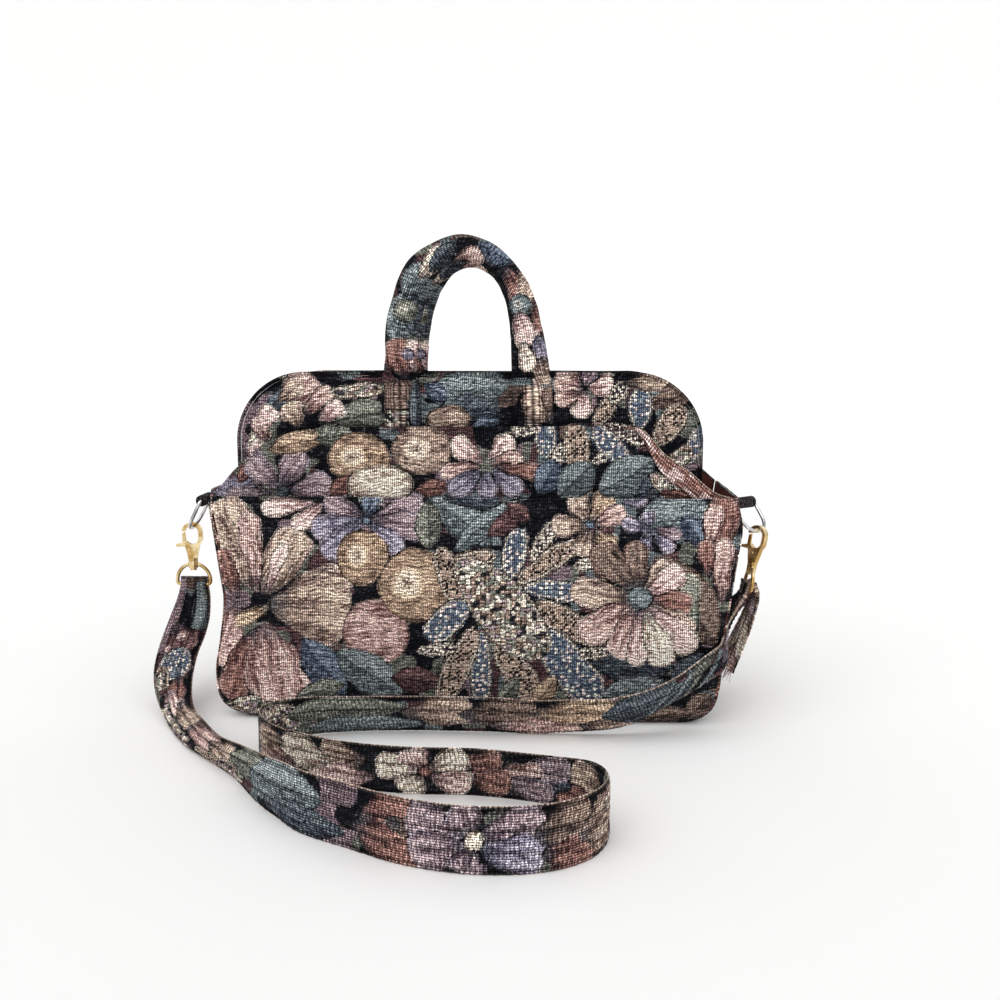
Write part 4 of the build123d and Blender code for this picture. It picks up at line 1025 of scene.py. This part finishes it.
def make_compartment(materials):
    """The zip-topped compartment: two panels, the strip round its sides and the two flaps that
    slope up from the zip to the panels' edges."""
    make_panel("front_panel", "compartment_front_panel", -1, FRONT_PRINT, 0.9, 340, materials)
    make_panel("rear_panel", "compartment_rear_panel", 1, REAR_PRINT, 1.6, 188, materials)
    make_compartment_sides(materials)
    half, inner_edge, width, rise = 110.2, 6.8, 20.6, 2.9
    for end, sign in (("front", -1), ("rear", 1)):
        tt, xx = crossed(spaced(0, 1, 1 / 16), spaced(-half, half, 1.7))
        y = sign * (inner_edge + width * tt)
        z = ZIP_LEVEL + 1.2 + rise * tt + 0.5 * np.sin(pi * tt) + 0.3 * noise(xx / 9, tt, 51)
        tint, edge = tapestry_print(xx, y + 60, TOTE_PRINT)
        edge = np.where(tt < 0.06, 0.0, edge)
        sheet(f"zip_flap_{end}", materials, f"zip_strip_{end}", np.stack([xx, y, z], -1), tint, edge, 1.0,
              (xx, y), (0, 0, -1.0))


def make_piping(materials):
    """The piping: a round cord in cloth at each panel, from its foot on the left side, up round the
    corner, across the top and down the right side."""
    foot, out, radius, across_count = 48, 1.3, 1.35, 150
    for end, y, fields in (("front", -28.3, FRONT_PRINT), ("rear", 28.3, REAR_PRINT)):
        x, z, _ = compartment_line(170)
        normal = unit(np.stack([-np.clip(-x - (PANEL_HALF - PANEL_CORNER), 0, None),
                                np.clip(z - (PANEL_TOP - PANEL_CORNER), 0, None)], -1))
        half = np.stack([x + normal[:, 0] * out, np.full(len(x), y), z + normal[:, 1] * out], -1)[z > foot]
        inner = np.linspace(half[0, 0], -half[0, 0], across_count)[1:-1]
        level = half[0, 2] + 0.5 * noise(inner / 30, inner * 0, 3) - 0.25
        top = np.stack([inner, np.full(len(inner), y), level], -1)
        path = np.concatenate([half[::-1], top, half * np.array([-1, 1, 1])])

        def paint(points, run, around):
            tint, edge = tapestry_print(points[..., 0] * 0.99, points[..., 2] - 1.5, fields)
            twist = 0.62 + 0.16 * np.sin(run * 2 * pi / 2.6 + around * 0.8)
            return tint * twist[..., None], edge

        cloth = Cloth()
        tube(cloth, path, radius, paint, sides=10)
        cloth.object(f"piping_{end}", materials, replaces=[f"{end}_piping"])


def make_zip(tape_materials, steel):
    """The zip: two woven tapes and two rows of teeth that stand in each other's gaps."""
    for end, sign in (("front", -1), ("rear", 1)):
        tt, xx = crossed(spaced(0, 1, 1 / 12), spaced(-ZIP_HALF, ZIP_HALF, 2.0))
        y = sign * (ZIP_GAP + 11.0 * tt)
        z = ZIP_LEVEL + 0.12 * np.sin(xx * 2 * pi / TOOTH_PITCH) * (tt < 0.2)
        k = 0.3 + 0.25 * noise(xx / 3, y, 3) + 0.35 * (abs(tt - 0.45) < 0.06)
        cloth = Cloth()
        cloth_panel(cloth, np.stack([xx, y, z], -1), mixed("slate", k) * 0.7, FAR + 0 * tt, 0.7, (xx, y), (0, 0, -0.6))
        cloth.object(f"zip_tape_{end}_cloth", tape_materials, replaces=[f"zip_tape_{end}"])
    # One tooth's eight corners, with a wider head at the middle of the zip, and its six faces.
    tooth = np.array([[x, y, z] for x in (-0.62, 0.62) for y in (0.3, 2.3) for z in (-1.05, 1.05)], float)
    tooth[tooth[:, 1] < 1, 0] *= 1.25
    sides = np.array([[0, 1, 3, 2], [4, 6, 7, 5], [0, 4, 5, 1], [2, 3, 7, 6], [0, 2, 6, 4], [1, 5, 7, 3]])
    teeth = Cloth()
    for sign, shift in ((-1, 0.0), (1, TOOTH_PITCH / 2)):
        x = np.arange(-103, 103, TOOTH_PITCH) + shift
        block = tooth * np.array([1, sign, 1]) - np.array([0, sign * ZIP_GAP, 0])
        points = block + np.stack([x, 0 * x, ZIP_LEVEL + 0 * x], -1)[:, None]
        faces = sides + 8 * np.arange(len(x))[:, None, None]
        teeth.put(points, (0.3, 0.3, 0.3), (0, 0, FAR), faces.reshape(-1, 4))
    bevel(teeth.object("zip_teeth", [steel], weld=0.0001), 0.22, 1)


def bevel(piece, width, segments, angle=35):
    """Rounds a piece's edges: a Bevel modifier of that width in millimetres."""
    modifier = piece.modifiers.new("rounded", "BEVEL")
    modifier.width, modifier.segments = width * MM, segments
    modifier.limit_method, modifier.angle_limit = "ANGLE", radians(angle)
    modifier.harden_normals = False


HANDLE_LINE = (  # distance along, x, z, half-width, half-depth, distance out from the bag's middle
    (0, -43.6, 184, 13.2, 1.7, 31.3), (22, -43.8, 206, 13.0, 1.8, 31.3), (38, -43.8, 221, 12.4, 3.4, 31.9),
    (46, -43.8, 229, 11.2, 7.2, 32.8), (56, -43.0, 240, 10.5, 9.0, 33.0), (72, -42.3, 255, 10.4, 9.3, 32.8),
    (94, -37.6, 275.5, 10.8, 9.4, 32.6), (112, -30.6, 292, 10.2, 9.4, 32.5), (128, -18.6, 303.2, 8.7, 9.3, 32.5),
    (145, -2.6, 308.4, 7.9, 9.2, 32.5), (163, 14.4, 302.8, 7.8, 9.2, 32.5), (178, 25.6, 291.5, 7.9, 9.0, 32.5),
    (194, 33.6, 277, 8.9, 9.2, 32.6), (217, 38.6, 254.5, 10.3, 9.2, 32.8), (232, 40.4, 240, 11.4, 8.6, 32.9),
    (242, 41.4, 229, 12.4, 6.4, 32.6), (250, 42.0, 221, 13.0, 3.2, 31.9), (266, 43.0, 206, 13.3, 1.8, 31.3),
    (288, 43.2, 184, 13.4, 1.7, 31.3))


def make_handle(name, node, sign, materials):
    """One padded handle: sections along its arch whose cosine and sine are raised to a power, round
    in the arch and squarer as they widen and flatten into the two tabs."""
    run = np.linspace(0, 288, 301)
    line = flow(HANDLE_LINE, run)
    path = np.stack([line[:, 0], sign * line[:, 4], line[:, 1]], -1)
    deep_way, wide_way = across(path, (0, sign, 0))
    turn = np.linspace(0, 2 * pi, 60, endpoint=False)[None]
    flat = smooth(7, 2.5, line[:, 3])[:, None]
    cosine, sine = np.cos(turn), np.sin(turn)
    c = np.sign(cosine) * abs(cosine) ** (1 - 0.45 * flat)
    s = np.sign(sine) * abs(sine) ** (1 - 0.3 * flat)
    rr = run[:, None] + 0 * turn
    inner_side = smooth(0.1, 1.0, -sine + 0.4) * smooth(60, 90, rr) * smooth(236, 200, rr)
    crease = 0.45 * np.sin(rr / 2.3 + 3 * noise(rr / 9, turn * 2, 61)) * inner_side
    crease = crease + 0.9 * (noise(rr / 13, turn * 1.3, 62) - 0.5)
    grow = 1 + (crease * (1 - flat)) / 9
    wide, deep = c * line[:, 2:3] * grow, s * line[:, 3:4] * grow
    points = path[:, None] + wide_way[:, None] * wide[..., None] + deep_way[:, None] * deep[..., None]
    stitch = sum(smooth(2.2, 0.6, abs(rr - place)) for place in HANDLE_SEAMS)
    points = points - deep_way[:, None] * (stitch * 1.3 * np.clip(sine, 0, 1))[..., None]
    tint, edge = tapestry_print(points[..., 0], points[..., 2], HANDLE_PRINT)
    tint = tint * (1 - 0.45 * np.clip(stitch, 0, 1))[..., None]
    edge = np.minimum(edge, abs(turn - 1.5 * pi) * 9)
    edge = np.where((flat > 0.5) & (abs(cosine) > 0.985), 0.2, edge)
    points, tint, place = capped(points, path[0], path[-1], tint, np.stack([turn * 9.5 + 0 * rr, rr, edge], -1))
    cloth = Cloth()
    cloth.grid(points, tint, place, around=True)
    cloth.object(name, materials, replaces=[node, node + "_core"])


# Stations along the strap and its tail: the middle, and half the width as a vector.
STRAP_LINE = (
    ((-197.4, 0, 83.6), (9.9, 0, 0)), ((-197.4, -0.4, 77), (9.9, 0, 0)), ((-197.9, -1.2, 69), (11.6, 0, 0.2)),
    ((-199.8, -6, 56), (14, 1, 0.5)), ((-202, -13, 44), (14.4, 4, 1)), ((-203.5, -26, 31), (13.6, 5, 2.5)),
    ((-198.5, -47, 19), (12.2, 2, 3)), ((-184, -77, 10), (9.6, -1, 6)), ((-163, -111, 10), (7, 0, 7.5)),
    ((-144, -136, 10.5), (5.5, -3, 8.5)), ((-124, -158, 12), (5, -4, 10.5)), ((-100, -192, 15.4), (3, -3, 14.8)),
    ((-78, -217, 17), (0, 0, 16.9)), ((-46, -237, 17), (0, 0, 17)), ((-8, -256, 17), (0, 0, 17)),
    ((27, -262, 17), (0, 0, 17)), ((58, -256, 17), (0, 0, 17)), ((77, -241, 17), (0, 0, 17)),
    ((84, -222, 17), (0, -1, 17)), ((77, -203, 17), (0, -3, 16.8)), ((57, -190.5, 16.6), (0, -5.5, 16.1)),
    ((16, -180, 16.5), (0, -6, 15.9)), ((-27, -178, 16.5), (0, -6, 15.9)), ((-66, -170, 16.5), (1, -6, 15.9)),
    ((-97, -153, 16.4), (2, -6, 15.8)), ((-115, -132, 16.4), (2, -6.2, 15.8)), ((-116, -113, 16.3), (0, -6.5, 15.7)),
    ((-102, -98, 15.9), (0, -7.5, 15.2)), ((-80, -89, 15.4), (0, -8.5, 14.7)), ((-40, -85, 15.2), (0, -9, 14.4)),
    ((10, -85, 15.2), (0, -9, 14.4)), ((60, -86, 14.9), (-0.5, -9.5, 14)), ((100, -86, 18), (-4, -10, 12.4)),
    ((124, -84, 27), (-5.5, -12, 9.5)), ((141, -81, 36), (-6, -12.5, 9)), ((151, -78.4, 41.5), (-5.5, -11.5, 9.5)),
    ((163.5, -71, 48.5), (-4, -9, 9.5)), ((169, -46, 55), (-1.5, -13.5, 5)), ((174, -28, 63), (0, -13.5, 2)),
    ((181, -16, 71), (0, -12, 0)), ((187.8, -11, 78), (-0.6, -10, 0)), ((190.2, -10.85, 86), (0, -9.9, 0)))
TAIL_LINE = (((191.0, -11, 85.5), (0, -9.9, 0)), ((193.6, -13, 79), (-0.6, -9.8, 0)), ((189, -19, 67), (0.6, -12, -1)),
             ((181, -26, 51), (1.8, -13, -1.5)), ((173, -31, 34), (1.9, -13.5, -2)))


def strap_face(face, w, s, thick, bow, rolled):
    """How far one face of the strap, 1 or -1, stands from its middle. Across it, the half thickness
    is (1 - w^7)^0.5, less a Gaussian groove at each seam, and the whole bows by 0.33 - w^2."""
    body = np.sqrt(np.clip(1 - abs(w) ** 7, 0, 1))
    groove = 0.0
    for row in STRAP_SEAMS:
        near = np.exp(-(((w - row) * STRAP_HALF) / 0.9) ** 2)
        groove = groove + near * (0.7 + 0.3 * np.sin(s * 2 * pi / 3.4 + row * 9))
    puff = 0.5 * (noise(s / 7, w * 3 + face, 71) - 0.5) + 0.25 * np.sin(s * 2 * pi / 5.5 + 2 * w)
    depth = thick / 2 * body + (puff - groove) * body * np.clip(thick / 3, 0.6, 1)
    shift = face * np.maximum(depth, 0.0) + bow * (0.33 - w ** 2)
    if rolled and face > 0:
        shift = shift + 3.4 * np.exp(-((w + 0.80) / 0.17) ** 2) * smooth(2, 10, s) * smooth(60, 44, s)
        shift = shift + 1.6 * smooth(-0.9, 0.9, w - (s - 46) / 14) * smooth(30, 50, s) * smooth(70, 60, s)
    return shift


def strap_piece(name, line, thick_line, fields, turn_fields, materials, step, rolled=False):
    """A flat strap: a cubic through its stations, cut across by rounded sections that hold four
    sewn channels, and that bow where their chord is shorter than the cloth is wide. Returns its
    middle line, the half-width vectors and the normals."""
    line = np.array(line, float)
    chord = length_along(line[:, 0])
    run = np.linspace(0, chord[-1], int(chord[-1] / step))
    mid, wide = (flow(np.column_stack([chord, line[:, i]]), run) for i in (0, 1))
    normal = unit(np.cross(unit(np.gradient(mid, axis=0)), wide))
    reach = np.linalg.norm(wide, axis=1)
    w = np.linspace(-1, 1, 35)
    w = np.sign(w) * (1 - (1 - abs(w)) ** 1.25)
    s = run[:, None]
    thick = flow(thick_line, run)[:, None]
    short = np.clip(STRAP_HALF / reach - 1, 0, 0.09)
    bow = np.clip(reach * 2 * np.sqrt(0.375 * short), 0, 4.0)[:, None] * 0.55
    ripple = 0.9 * (noise(s / 24, s * 0, 73) - 0.5)
    rows = []
    for face in (1, -1):
        ww = (w * face)[None] + 0 * s
        shift = strap_face(face, ww, s, thick, bow, rolled) + ripple
        points = mid[:, None] + wide[:, None] * ww[..., None] + normal[:, None] * shift[..., None]
        rows.append(points[:, :-1])
    points = np.concatenate(rows, axis=1)
    c = np.concatenate([w[:-1], -w[:-1]])[None] * STRAP_HALF + 0 * s
    ss = s + 0 * c
    rear = np.arange(c.shape[1]) >= len(w) - 1
    tint, edge = tapestry_print(ss, c, fields, seed=11)
    turned_tint, turned_edge = tapestry_print(ss, c, turn_fields, seed=14)
    tint, edge = np.where(rear[:, None], turned_tint, tint), np.where(rear, turned_edge, edge)
    seams = sum(np.exp(-((c / STRAP_HALF - row) * STRAP_HALF / 0.8) ** 2) for row in STRAP_SEAMS)
    tint = tint * (1 - 0.72 * np.clip(seams, 0, 1))[..., None]
    pale = smooth(15.9, 16.9, abs(c))[..., None]
    tint = tint * (1 - pale * 0.5) + mixed("tan", 0.6 + 0 * c) * pale * 0.5
    points[..., 2] = np.maximum(points[..., 2], 0.25)
    points, tint, place = capped(points, points[0].mean(0), points[-1].mean(0), tint, np.stack([c, ss, edge], -1))
    cloth = Cloth()
    cloth.grid(points, tint, place, around=True)
    cloth.object(name, materials, replaces=["shoulder_strap"], sharp=70)
    return mid, wide, normal


def make_strap(materials):
    """The shoulder strap, the tail of its right end, and the threads that fray from the tail."""
    # The distance along the strap, and its thickness there.
    thick = ((0, 7.4), (8, 8.0), (16, 6.4), (34, 4.2), (60, 3.4), (110, 3.0), (1040, 3.0), (1085, 3.4),
             (1112, 6.6), (1160, 7.4))
    turned = moved(STRAP_PRINT, -300) + STRAP_TURN_PRINT
    strap_piece("strap", STRAP_LINE, thick, STRAP_PRINT, turned, materials, 1.0, True)
    tail = ((0, 6.0), (14, 3.6), (30, 2.4), (60, 2.0))
    mid, wide, normal = strap_piece("strap_tail", TAIL_LINE, tail, TAIL_PRINT, TAIL_PRINT, materials, 1.5)
    fray = Cloth()
    away = unit(mid[-1] - mid[-4])
    count = 26
    spots = lattice(np.arange(count), np.arange(count) * 3.1, 81)
    t = np.linspace(0, 1, 8)[:, None]
    for k in range(count):
        root = mid[-2] + wide[-1] * (-0.95 + 1.9 * (k + 0.3 * spots[k]) / count)
        length = 4 + 7 * spots[(k * 7) % count]
        lean = wide[-1] / 14 * (spots[(k * 5) % count] - 0.5) * 5 + normal[-1] * (spots[(k * 3) % count] - 0.5) * 5

        def paint(points, run, around):
            return mixed("rust", 0.3 + 0.7 * lattice(run * 0 + k, run * 0, 3)), np.full(run.shape, FAR)

        path = root + away * length * t + lean * t ** 2
        tube(fray, path, 0.28 * (1 - 0.6 * t[:, 0]), paint, sides=6, side=(0.3, 0.2, 1))
    fray.object("strap_frayed_threads", materials)


def rounded_copy(name, node, material, width, segments, body):
    """A copy of a CAD solid with its loose triangles merged and its edges rounded."""
    mesh = frame["nodes"][node].data.copy()
    work = bmesh.new()
    work.from_mesh(mesh)
    bmesh.ops.remove_doubles(work, verts=work.verts, dist=1e-6)
    bmesh.ops.dissolve_limit(work, angle_limit=radians(1.5), verts=work.verts, edges=work.edges)
    work.to_mesh(mesh)
    work.free()
    mesh.materials.clear()
    mesh.materials.append(material)
    piece = shaded(name, mesh, 40)
    if width:
        bevel(piece, width, segments, 30)
    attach(piece, body)
    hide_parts(node)


def dress(nodes, material):
    """Gives CAD solids that stay as they are their finish."""
    for node in nodes:
        for slot in frame["nodes"][node].material_slots:
            slot.material = material


# ---- The studio

# Where the camera stands and looks, in metres, and its distance from the middle of the bag.
VIEW_FROM, VIEW_WAY, VIEW_DISTANCE = (0.0527, -0.7203, 0.240), (-0.0449, 0.9895, -0.1374), 0.7203


def soft_light(name, power, spread, place, target):
    """An even soft light that comes from the direction of a place towards a target."""
    light = bpy.data.lights.new(name, "SUN")
    light.energy, light.angle = power, radians(spread)
    lamp = linked(name, light)
    lamp.location = place
    lamp.rotation_euler = (Vector(target) - Vector(place)).to_track_quat("-Z", "Y").to_euler()


def make_floor(tint):
    """The floor, which runs back and turns up into the backdrop on a quarter circle."""
    front, back, half, radius, height = -12, 1.5, 12, 0.9, 3.2
    turn = np.linspace(0, pi / 2, 25)
    y = np.concatenate([np.linspace(front, back, 21)[:-1], back + radius * np.sin(turn), [back + radius]])
    z = np.concatenate([np.zeros(20), radius * (1 - np.cos(turn)), [height]])
    x = np.linspace(-half, half, 33)
    points = np.stack(np.broadcast_arrays(x[None], y[:, None], z[:, None]), -1).reshape(-1, 3)
    mesh = bpy.data.meshes.new("floor")
    mesh.from_pydata(points.tolist(), [], grid_faces(len(y), len(x)).tolist())
    floor = shaded("floor", mesh)
    f = Finish("studio_paper")
    cloudy = f.noise(f.place(2.0), detail=2.0)
    mesh.materials.append(f.surface(Base_Color=f.scaled(rgba(tint), cloudy * 0.02 + 0.99), Roughness=0.9,
                                    Specular_IOR_Level=0.1))


def make_studio(settings):
    """The floor, the room's even light, two soft lights, and a camera that looks a little down at
    the bag from in front."""
    make_floor(settings.floor)
    world = bpy.data.worlds.new("room")
    world.use_nodes = True
    background = world.node_tree.nodes["Background"]
    background.inputs["Color"].default_value = (1.0, 1.0, 1.0, 1.0)
    background.inputs["Strength"].default_value = settings.sky
    scene = bpy.context.scene
    scene.world = world
    target = (0.0, 0.0, 0.12)
    soft_light("key", settings.key, 60, (-0.7, -1.0, 1.7), target)
    soft_light("fill", settings.fill, 70, (1.1, -1.0, 1.3), target)
    camera = bpy.data.cameras.new("camera")
    camera.lens, camera.sensor_width = 37.8, 36.0
    eye = linked("camera", camera)
    way = Vector(VIEW_WAY).normalized()
    eye.location = Vector(VIEW_FROM) - way * (settings.distance - VIEW_DISTANCE)
    eye.rotation_euler = way.to_track_quat("-Z", "Y").to_euler()
    scene.camera = eye
    scene.view_settings.view_transform = "Standard"


# ---- Settings, one operator for each group of pieces, and the panel

def number_setting(name, description, default, low, high, **kind):
    """A setting that is a number."""
    return bpy.props.FloatProperty(name=name, description=description, default=default, min=low, max=high, **kind)


def colour_setting(name, description, default):
    """A setting that is a colour."""
    return bpy.props.FloatVectorProperty(name=name, description=description, default=tuple(default), min=0.0,
                                         max=1.0, subtype="COLOR")


class ClothSettings(bpy.types.PropertyGroup):
    """The tapestry's weave and its colours."""
    rib_pitch: number_setting("Rib pitch", "Distance between the upright ribs of the weave",
                              0.0013, 0.0004, 0.01, unit="LENGTH")
    outline: number_setting("Outline", "Width of the dark line round each field of the print",
                            0.0010, 0.0, 0.004, unit="LENGTH")
    relief: number_setting("Relief", "Height of the threads", 0.0004, 0.0, 0.002, unit="LENGTH")
    contrast: number_setting("Thread contrast", "How strongly the light threads stand out", 2.85, 0.2, 4.0)
    sheen: number_setting("Sheen", "Soft shine of the cotton threads", 0.01, 0.0, 1.0, subtype="FACTOR")
    lining: colour_setting("Lining", "Colour of the cotton lining", COTTON)


class HardwareSettings(bpy.types.PropertyGroup):
    """The finishes of the rings, hooks and zip."""
    brass: colour_setting("Hook brass", "Colour of the gilt hooks", shade(248, 228, 182))
    steel: colour_setting("Ring steel", "Colour of the plated rings", shade(238, 238, 238))
    edge: number_setting("Edge rounding", "How far the hooks' edges are rounded", 0.0005, 0.0, 0.001, unit="LENGTH")


class StudioSettings(bpy.types.PropertyGroup):
    """The floor, the lights and the view."""
    floor: colour_setting("Floor", "Colour of the floor and backdrop", (0.93, 0.93, 0.925))
    key: number_setting("Key light", "Strength of the main soft light", 1.05, 0.0, 100.0)
    fill: number_setting("Fill light", "Strength of the second soft light", 0.5, 0.0, 100.0)
    sky: number_setting("Room light", "Strength of the even light all round", 0.66, 0.0, 10.0)
    distance: number_setting("Camera distance", "From the camera to the middle of the bag",
                             VIEW_DISTANCE, 0.1, 10.0, unit="LENGTH")


_kept = {}


def material(name, make, *values):
    """A finish that several pieces share, made once."""
    if name not in _kept:
        _kept[name] = make(name, *values)
    return _kept[name]


def fabric():
    """The tapestry and, for its inner side, the cotton lining."""
    settings = bpy.context.scene.bag_cloth
    return [material("tapestry", tapestry, settings), material("lining_cotton", cotton, tuple(settings.lining))]


def brass():
    """The hooks' gilt brass, with darker patches of painted reflection."""
    bright, painted_reflection = tuple(bpy.context.scene.bag_hardware.brass), tuple(shade(190, 152, 88))
    return material("gilt_brass", metal, bright, painted_reflection)


def steel():
    """The rings' and zip's plated steel, with darker patches of painted reflection."""
    bright, painted_reflection = tuple(bpy.context.scene.bag_hardware.steel), tuple(shade(176, 176, 180))
    return material("plated_steel", metal, bright, painted_reflection)


class BAG_OT_pocket(bpy.types.Operator):
    """Sews the front pocket and its rolled mouth"""
    bl_idname = "bag.pocket"
    bl_label = "Pocket"

    def execute(self, context):
        make_pocket(fabric())
        return {"FINISHED"}


class BAG_OT_walls(bpy.types.Operator):
    """Sews the tote's front and rear walls and their hems"""
    bl_idname = "bag.walls"
    bl_label = "Tote walls"

    def execute(self, context):
        front_level, rear_level = -39.6, 41.6
        top = make_wall("wall_front", "tote_front_wall", WALL_EDGE, front_level, TOTE_PRINT, fabric(), True, 25)
        make_wall_hem("wall_front_hem", top, front_level - 0.4, fabric(), True)
        fields = moved(TOTE_PRINT, 8, 0, True)
        top = make_wall("wall_rear", "tote_rear_wall", REAR_EDGE, rear_level, fields, fabric(), False, 27)
        make_wall_hem("wall_rear_hem", top, rear_level + 0.4, fabric(), False)
        return {"FINISHED"}


class BAG_OT_gussets(bpy.types.Operator):
    """Sews the tote's two sides and its base"""
    bl_idname = "bag.gussets"
    bl_label = "Sides and base"

    def execute(self, context):
        make_gusset(-1, fabric())
        make_gusset(1, fabric())
        make_base(fabric())
        return {"FINISHED"}


class BAG_OT_compartment(bpy.types.Operator):
    """Sews the zip-topped compartment, its piping and its zip"""
    bl_idname = "bag.compartment"
    bl_label = "Compartment"

    def execute(self, context):
        make_compartment(fabric())
        make_piping(fabric())
        webbing_rib, webbing_outline = 0.9, 0.1
        webbing = material("zip_webbing", tapestry, context.scene.bag_cloth, webbing_rib, webbing_outline)
        make_zip([webbing], steel())
        for node in ("zip_slider", "zip_pull", "zip_top_stop", "zip_bottom_stop"):
            body = node if node in frame["bodies"] else "bag"
            rounded_copy(f"{node}_finished", node, steel(), 0.2, 2, body)
        return {"FINISHED"}


class BAG_OT_handles(bpy.types.Operator):
    """Pads and sews the two handles"""
    bl_idname = "bag.handles"
    bl_label = "Handles"

    def execute(self, context):
        make_handle("handle_front", "front_handle", -1, fabric())
        make_handle("handle_rear", "rear_handle", 1, fabric())
        return {"FINISHED"}


class BAG_OT_strap(bpy.types.Operator):
    """Sews the shoulder strap, its tail and its frayed threads"""
    bl_idname = "bag.strap"
    bl_label = "Shoulder strap"

    def execute(self, context):
        make_strap(fabric())
        return {"FINISHED"}


class BAG_OT_hardware(bpy.types.Operator):
    """Finishes the rings, their tabs, the swivel hooks and their gates"""
    bl_idname = "bag.hardware"
    bl_label = "Rings and hooks"

    def execute(self, context):
        edge = context.scene.bag_hardware.edge / MM
        dark = material("dark_tapestry", dark_cloth)
        pieces = (  # piece, solid, finish, edge rounding, its segments, body, slot
            ("ring", "d_ring", steel(), 0, 1, "ring", "ring_steel"),
            ("tab", "ring_tab", dark, 0.8, 3, None, "tapestry"),
            ("hook", "hook", brass(), edge, 3, "hook", "hook_brass"),
            ("gate", "gate", brass(), 0.25, 2, "gate", "hook_brass"),
            ("pin", "gate_pin", brass(), 0.2, 2, "hook", "hook_brass"),
            ("loop", "swivel_loop", brass(), 0, 1, None, "hook_brass"))
        for side in ("left", "right"):
            for piece, node, finish, width, segments, body, slot in pieces:
                rounded_copy(f"{side}_{piece}_finished", f"{side}_{node}", finish, width, segments,
                             f"{side}_{body}" if body else "bag")
            dress([f"{side}_gate_spring"], steel())
        return {"FINISHED"}


class BAG_OT_inner(bpy.types.Operator):
    """Gives the boards, cores and lining inside the bag their finishes"""
    bl_idname = "bag.inner"
    bl_label = "Inner parts"

    def execute(self, context):
        kraft = material("kraft_board", board, tuple(shade(150, 122, 92)))
        foam = material("foam_filling", board, tuple(shade(206, 200, 186)))
        dress(["compartment_lining"], fabric()[1])
        dress(["base_board", "front_stiffener", "rear_stiffener"], kraft)
        dress(["front_handle_core", "rear_handle_core"], foam)
        return {"FINISHED"}


class BAG_OT_studio(bpy.types.Operator):
    """Sets the floor, the soft lights and the camera"""
    bl_idname = "bag.studio"
    bl_label = "Studio"

    def execute(self, context):
        make_studio(context.scene.bag_studio)
        return {"FINISHED"}


class BAG_PT_sidebar(bpy.types.Panel):
    """Lists the bag's settings and the operators that make its pieces"""
    bl_idname = "BAG_PT_sidebar"
    bl_label = "Carpet bag"
    bl_space_type = "VIEW_3D"
    bl_region_type = "UI"
    bl_category = "Carpet bag"

    def draw(self, context):
        for group in (context.scene.bag_cloth, context.scene.bag_hardware, context.scene.bag_studio):
            box = self.layout.box()
            for key in group.__annotations__:
                box.prop(group, key)
        for operator in OPERATORS:
            self.layout.operator(operator.bl_idname)


OPERATORS = (BAG_OT_pocket, BAG_OT_walls, BAG_OT_gussets, BAG_OT_compartment, BAG_OT_handles, BAG_OT_strap,
             BAG_OT_hardware, BAG_OT_inner, BAG_OT_studio)
GROUPS = (("bag_cloth", ClothSettings), ("bag_hardware", HardwareSettings), ("bag_studio", StudioSettings))


def register():
    for name, group in GROUPS:
        bpy.utils.register_class(group)
        setattr(bpy.types.Scene, name, bpy.props.PointerProperty(type=group))
    for part in (*OPERATORS, BAG_PT_sidebar):
        bpy.utils.register_class(part)


def unregister():
    for part in reversed((*OPERATORS, BAG_PT_sidebar)):
        bpy.utils.unregister_class(part)
    for name, group in reversed(GROUPS):
        delattr(bpy.types.Scene, name)
        bpy.utils.unregister_class(group)


def main():
    """Makes the whole bag and its studio."""
    register()
    bpy.ops.bag.studio()
    bpy.ops.bag.pocket()
    bpy.ops.bag.walls()
    bpy.ops.bag.gussets()
    bpy.ops.bag.compartment()
    bpy.ops.bag.handles()
    bpy.ops.bag.strap()
    bpy.ops.bag.hardware()
    bpy.ops.bag.inner()


if __name__ == "__main__":
    main()
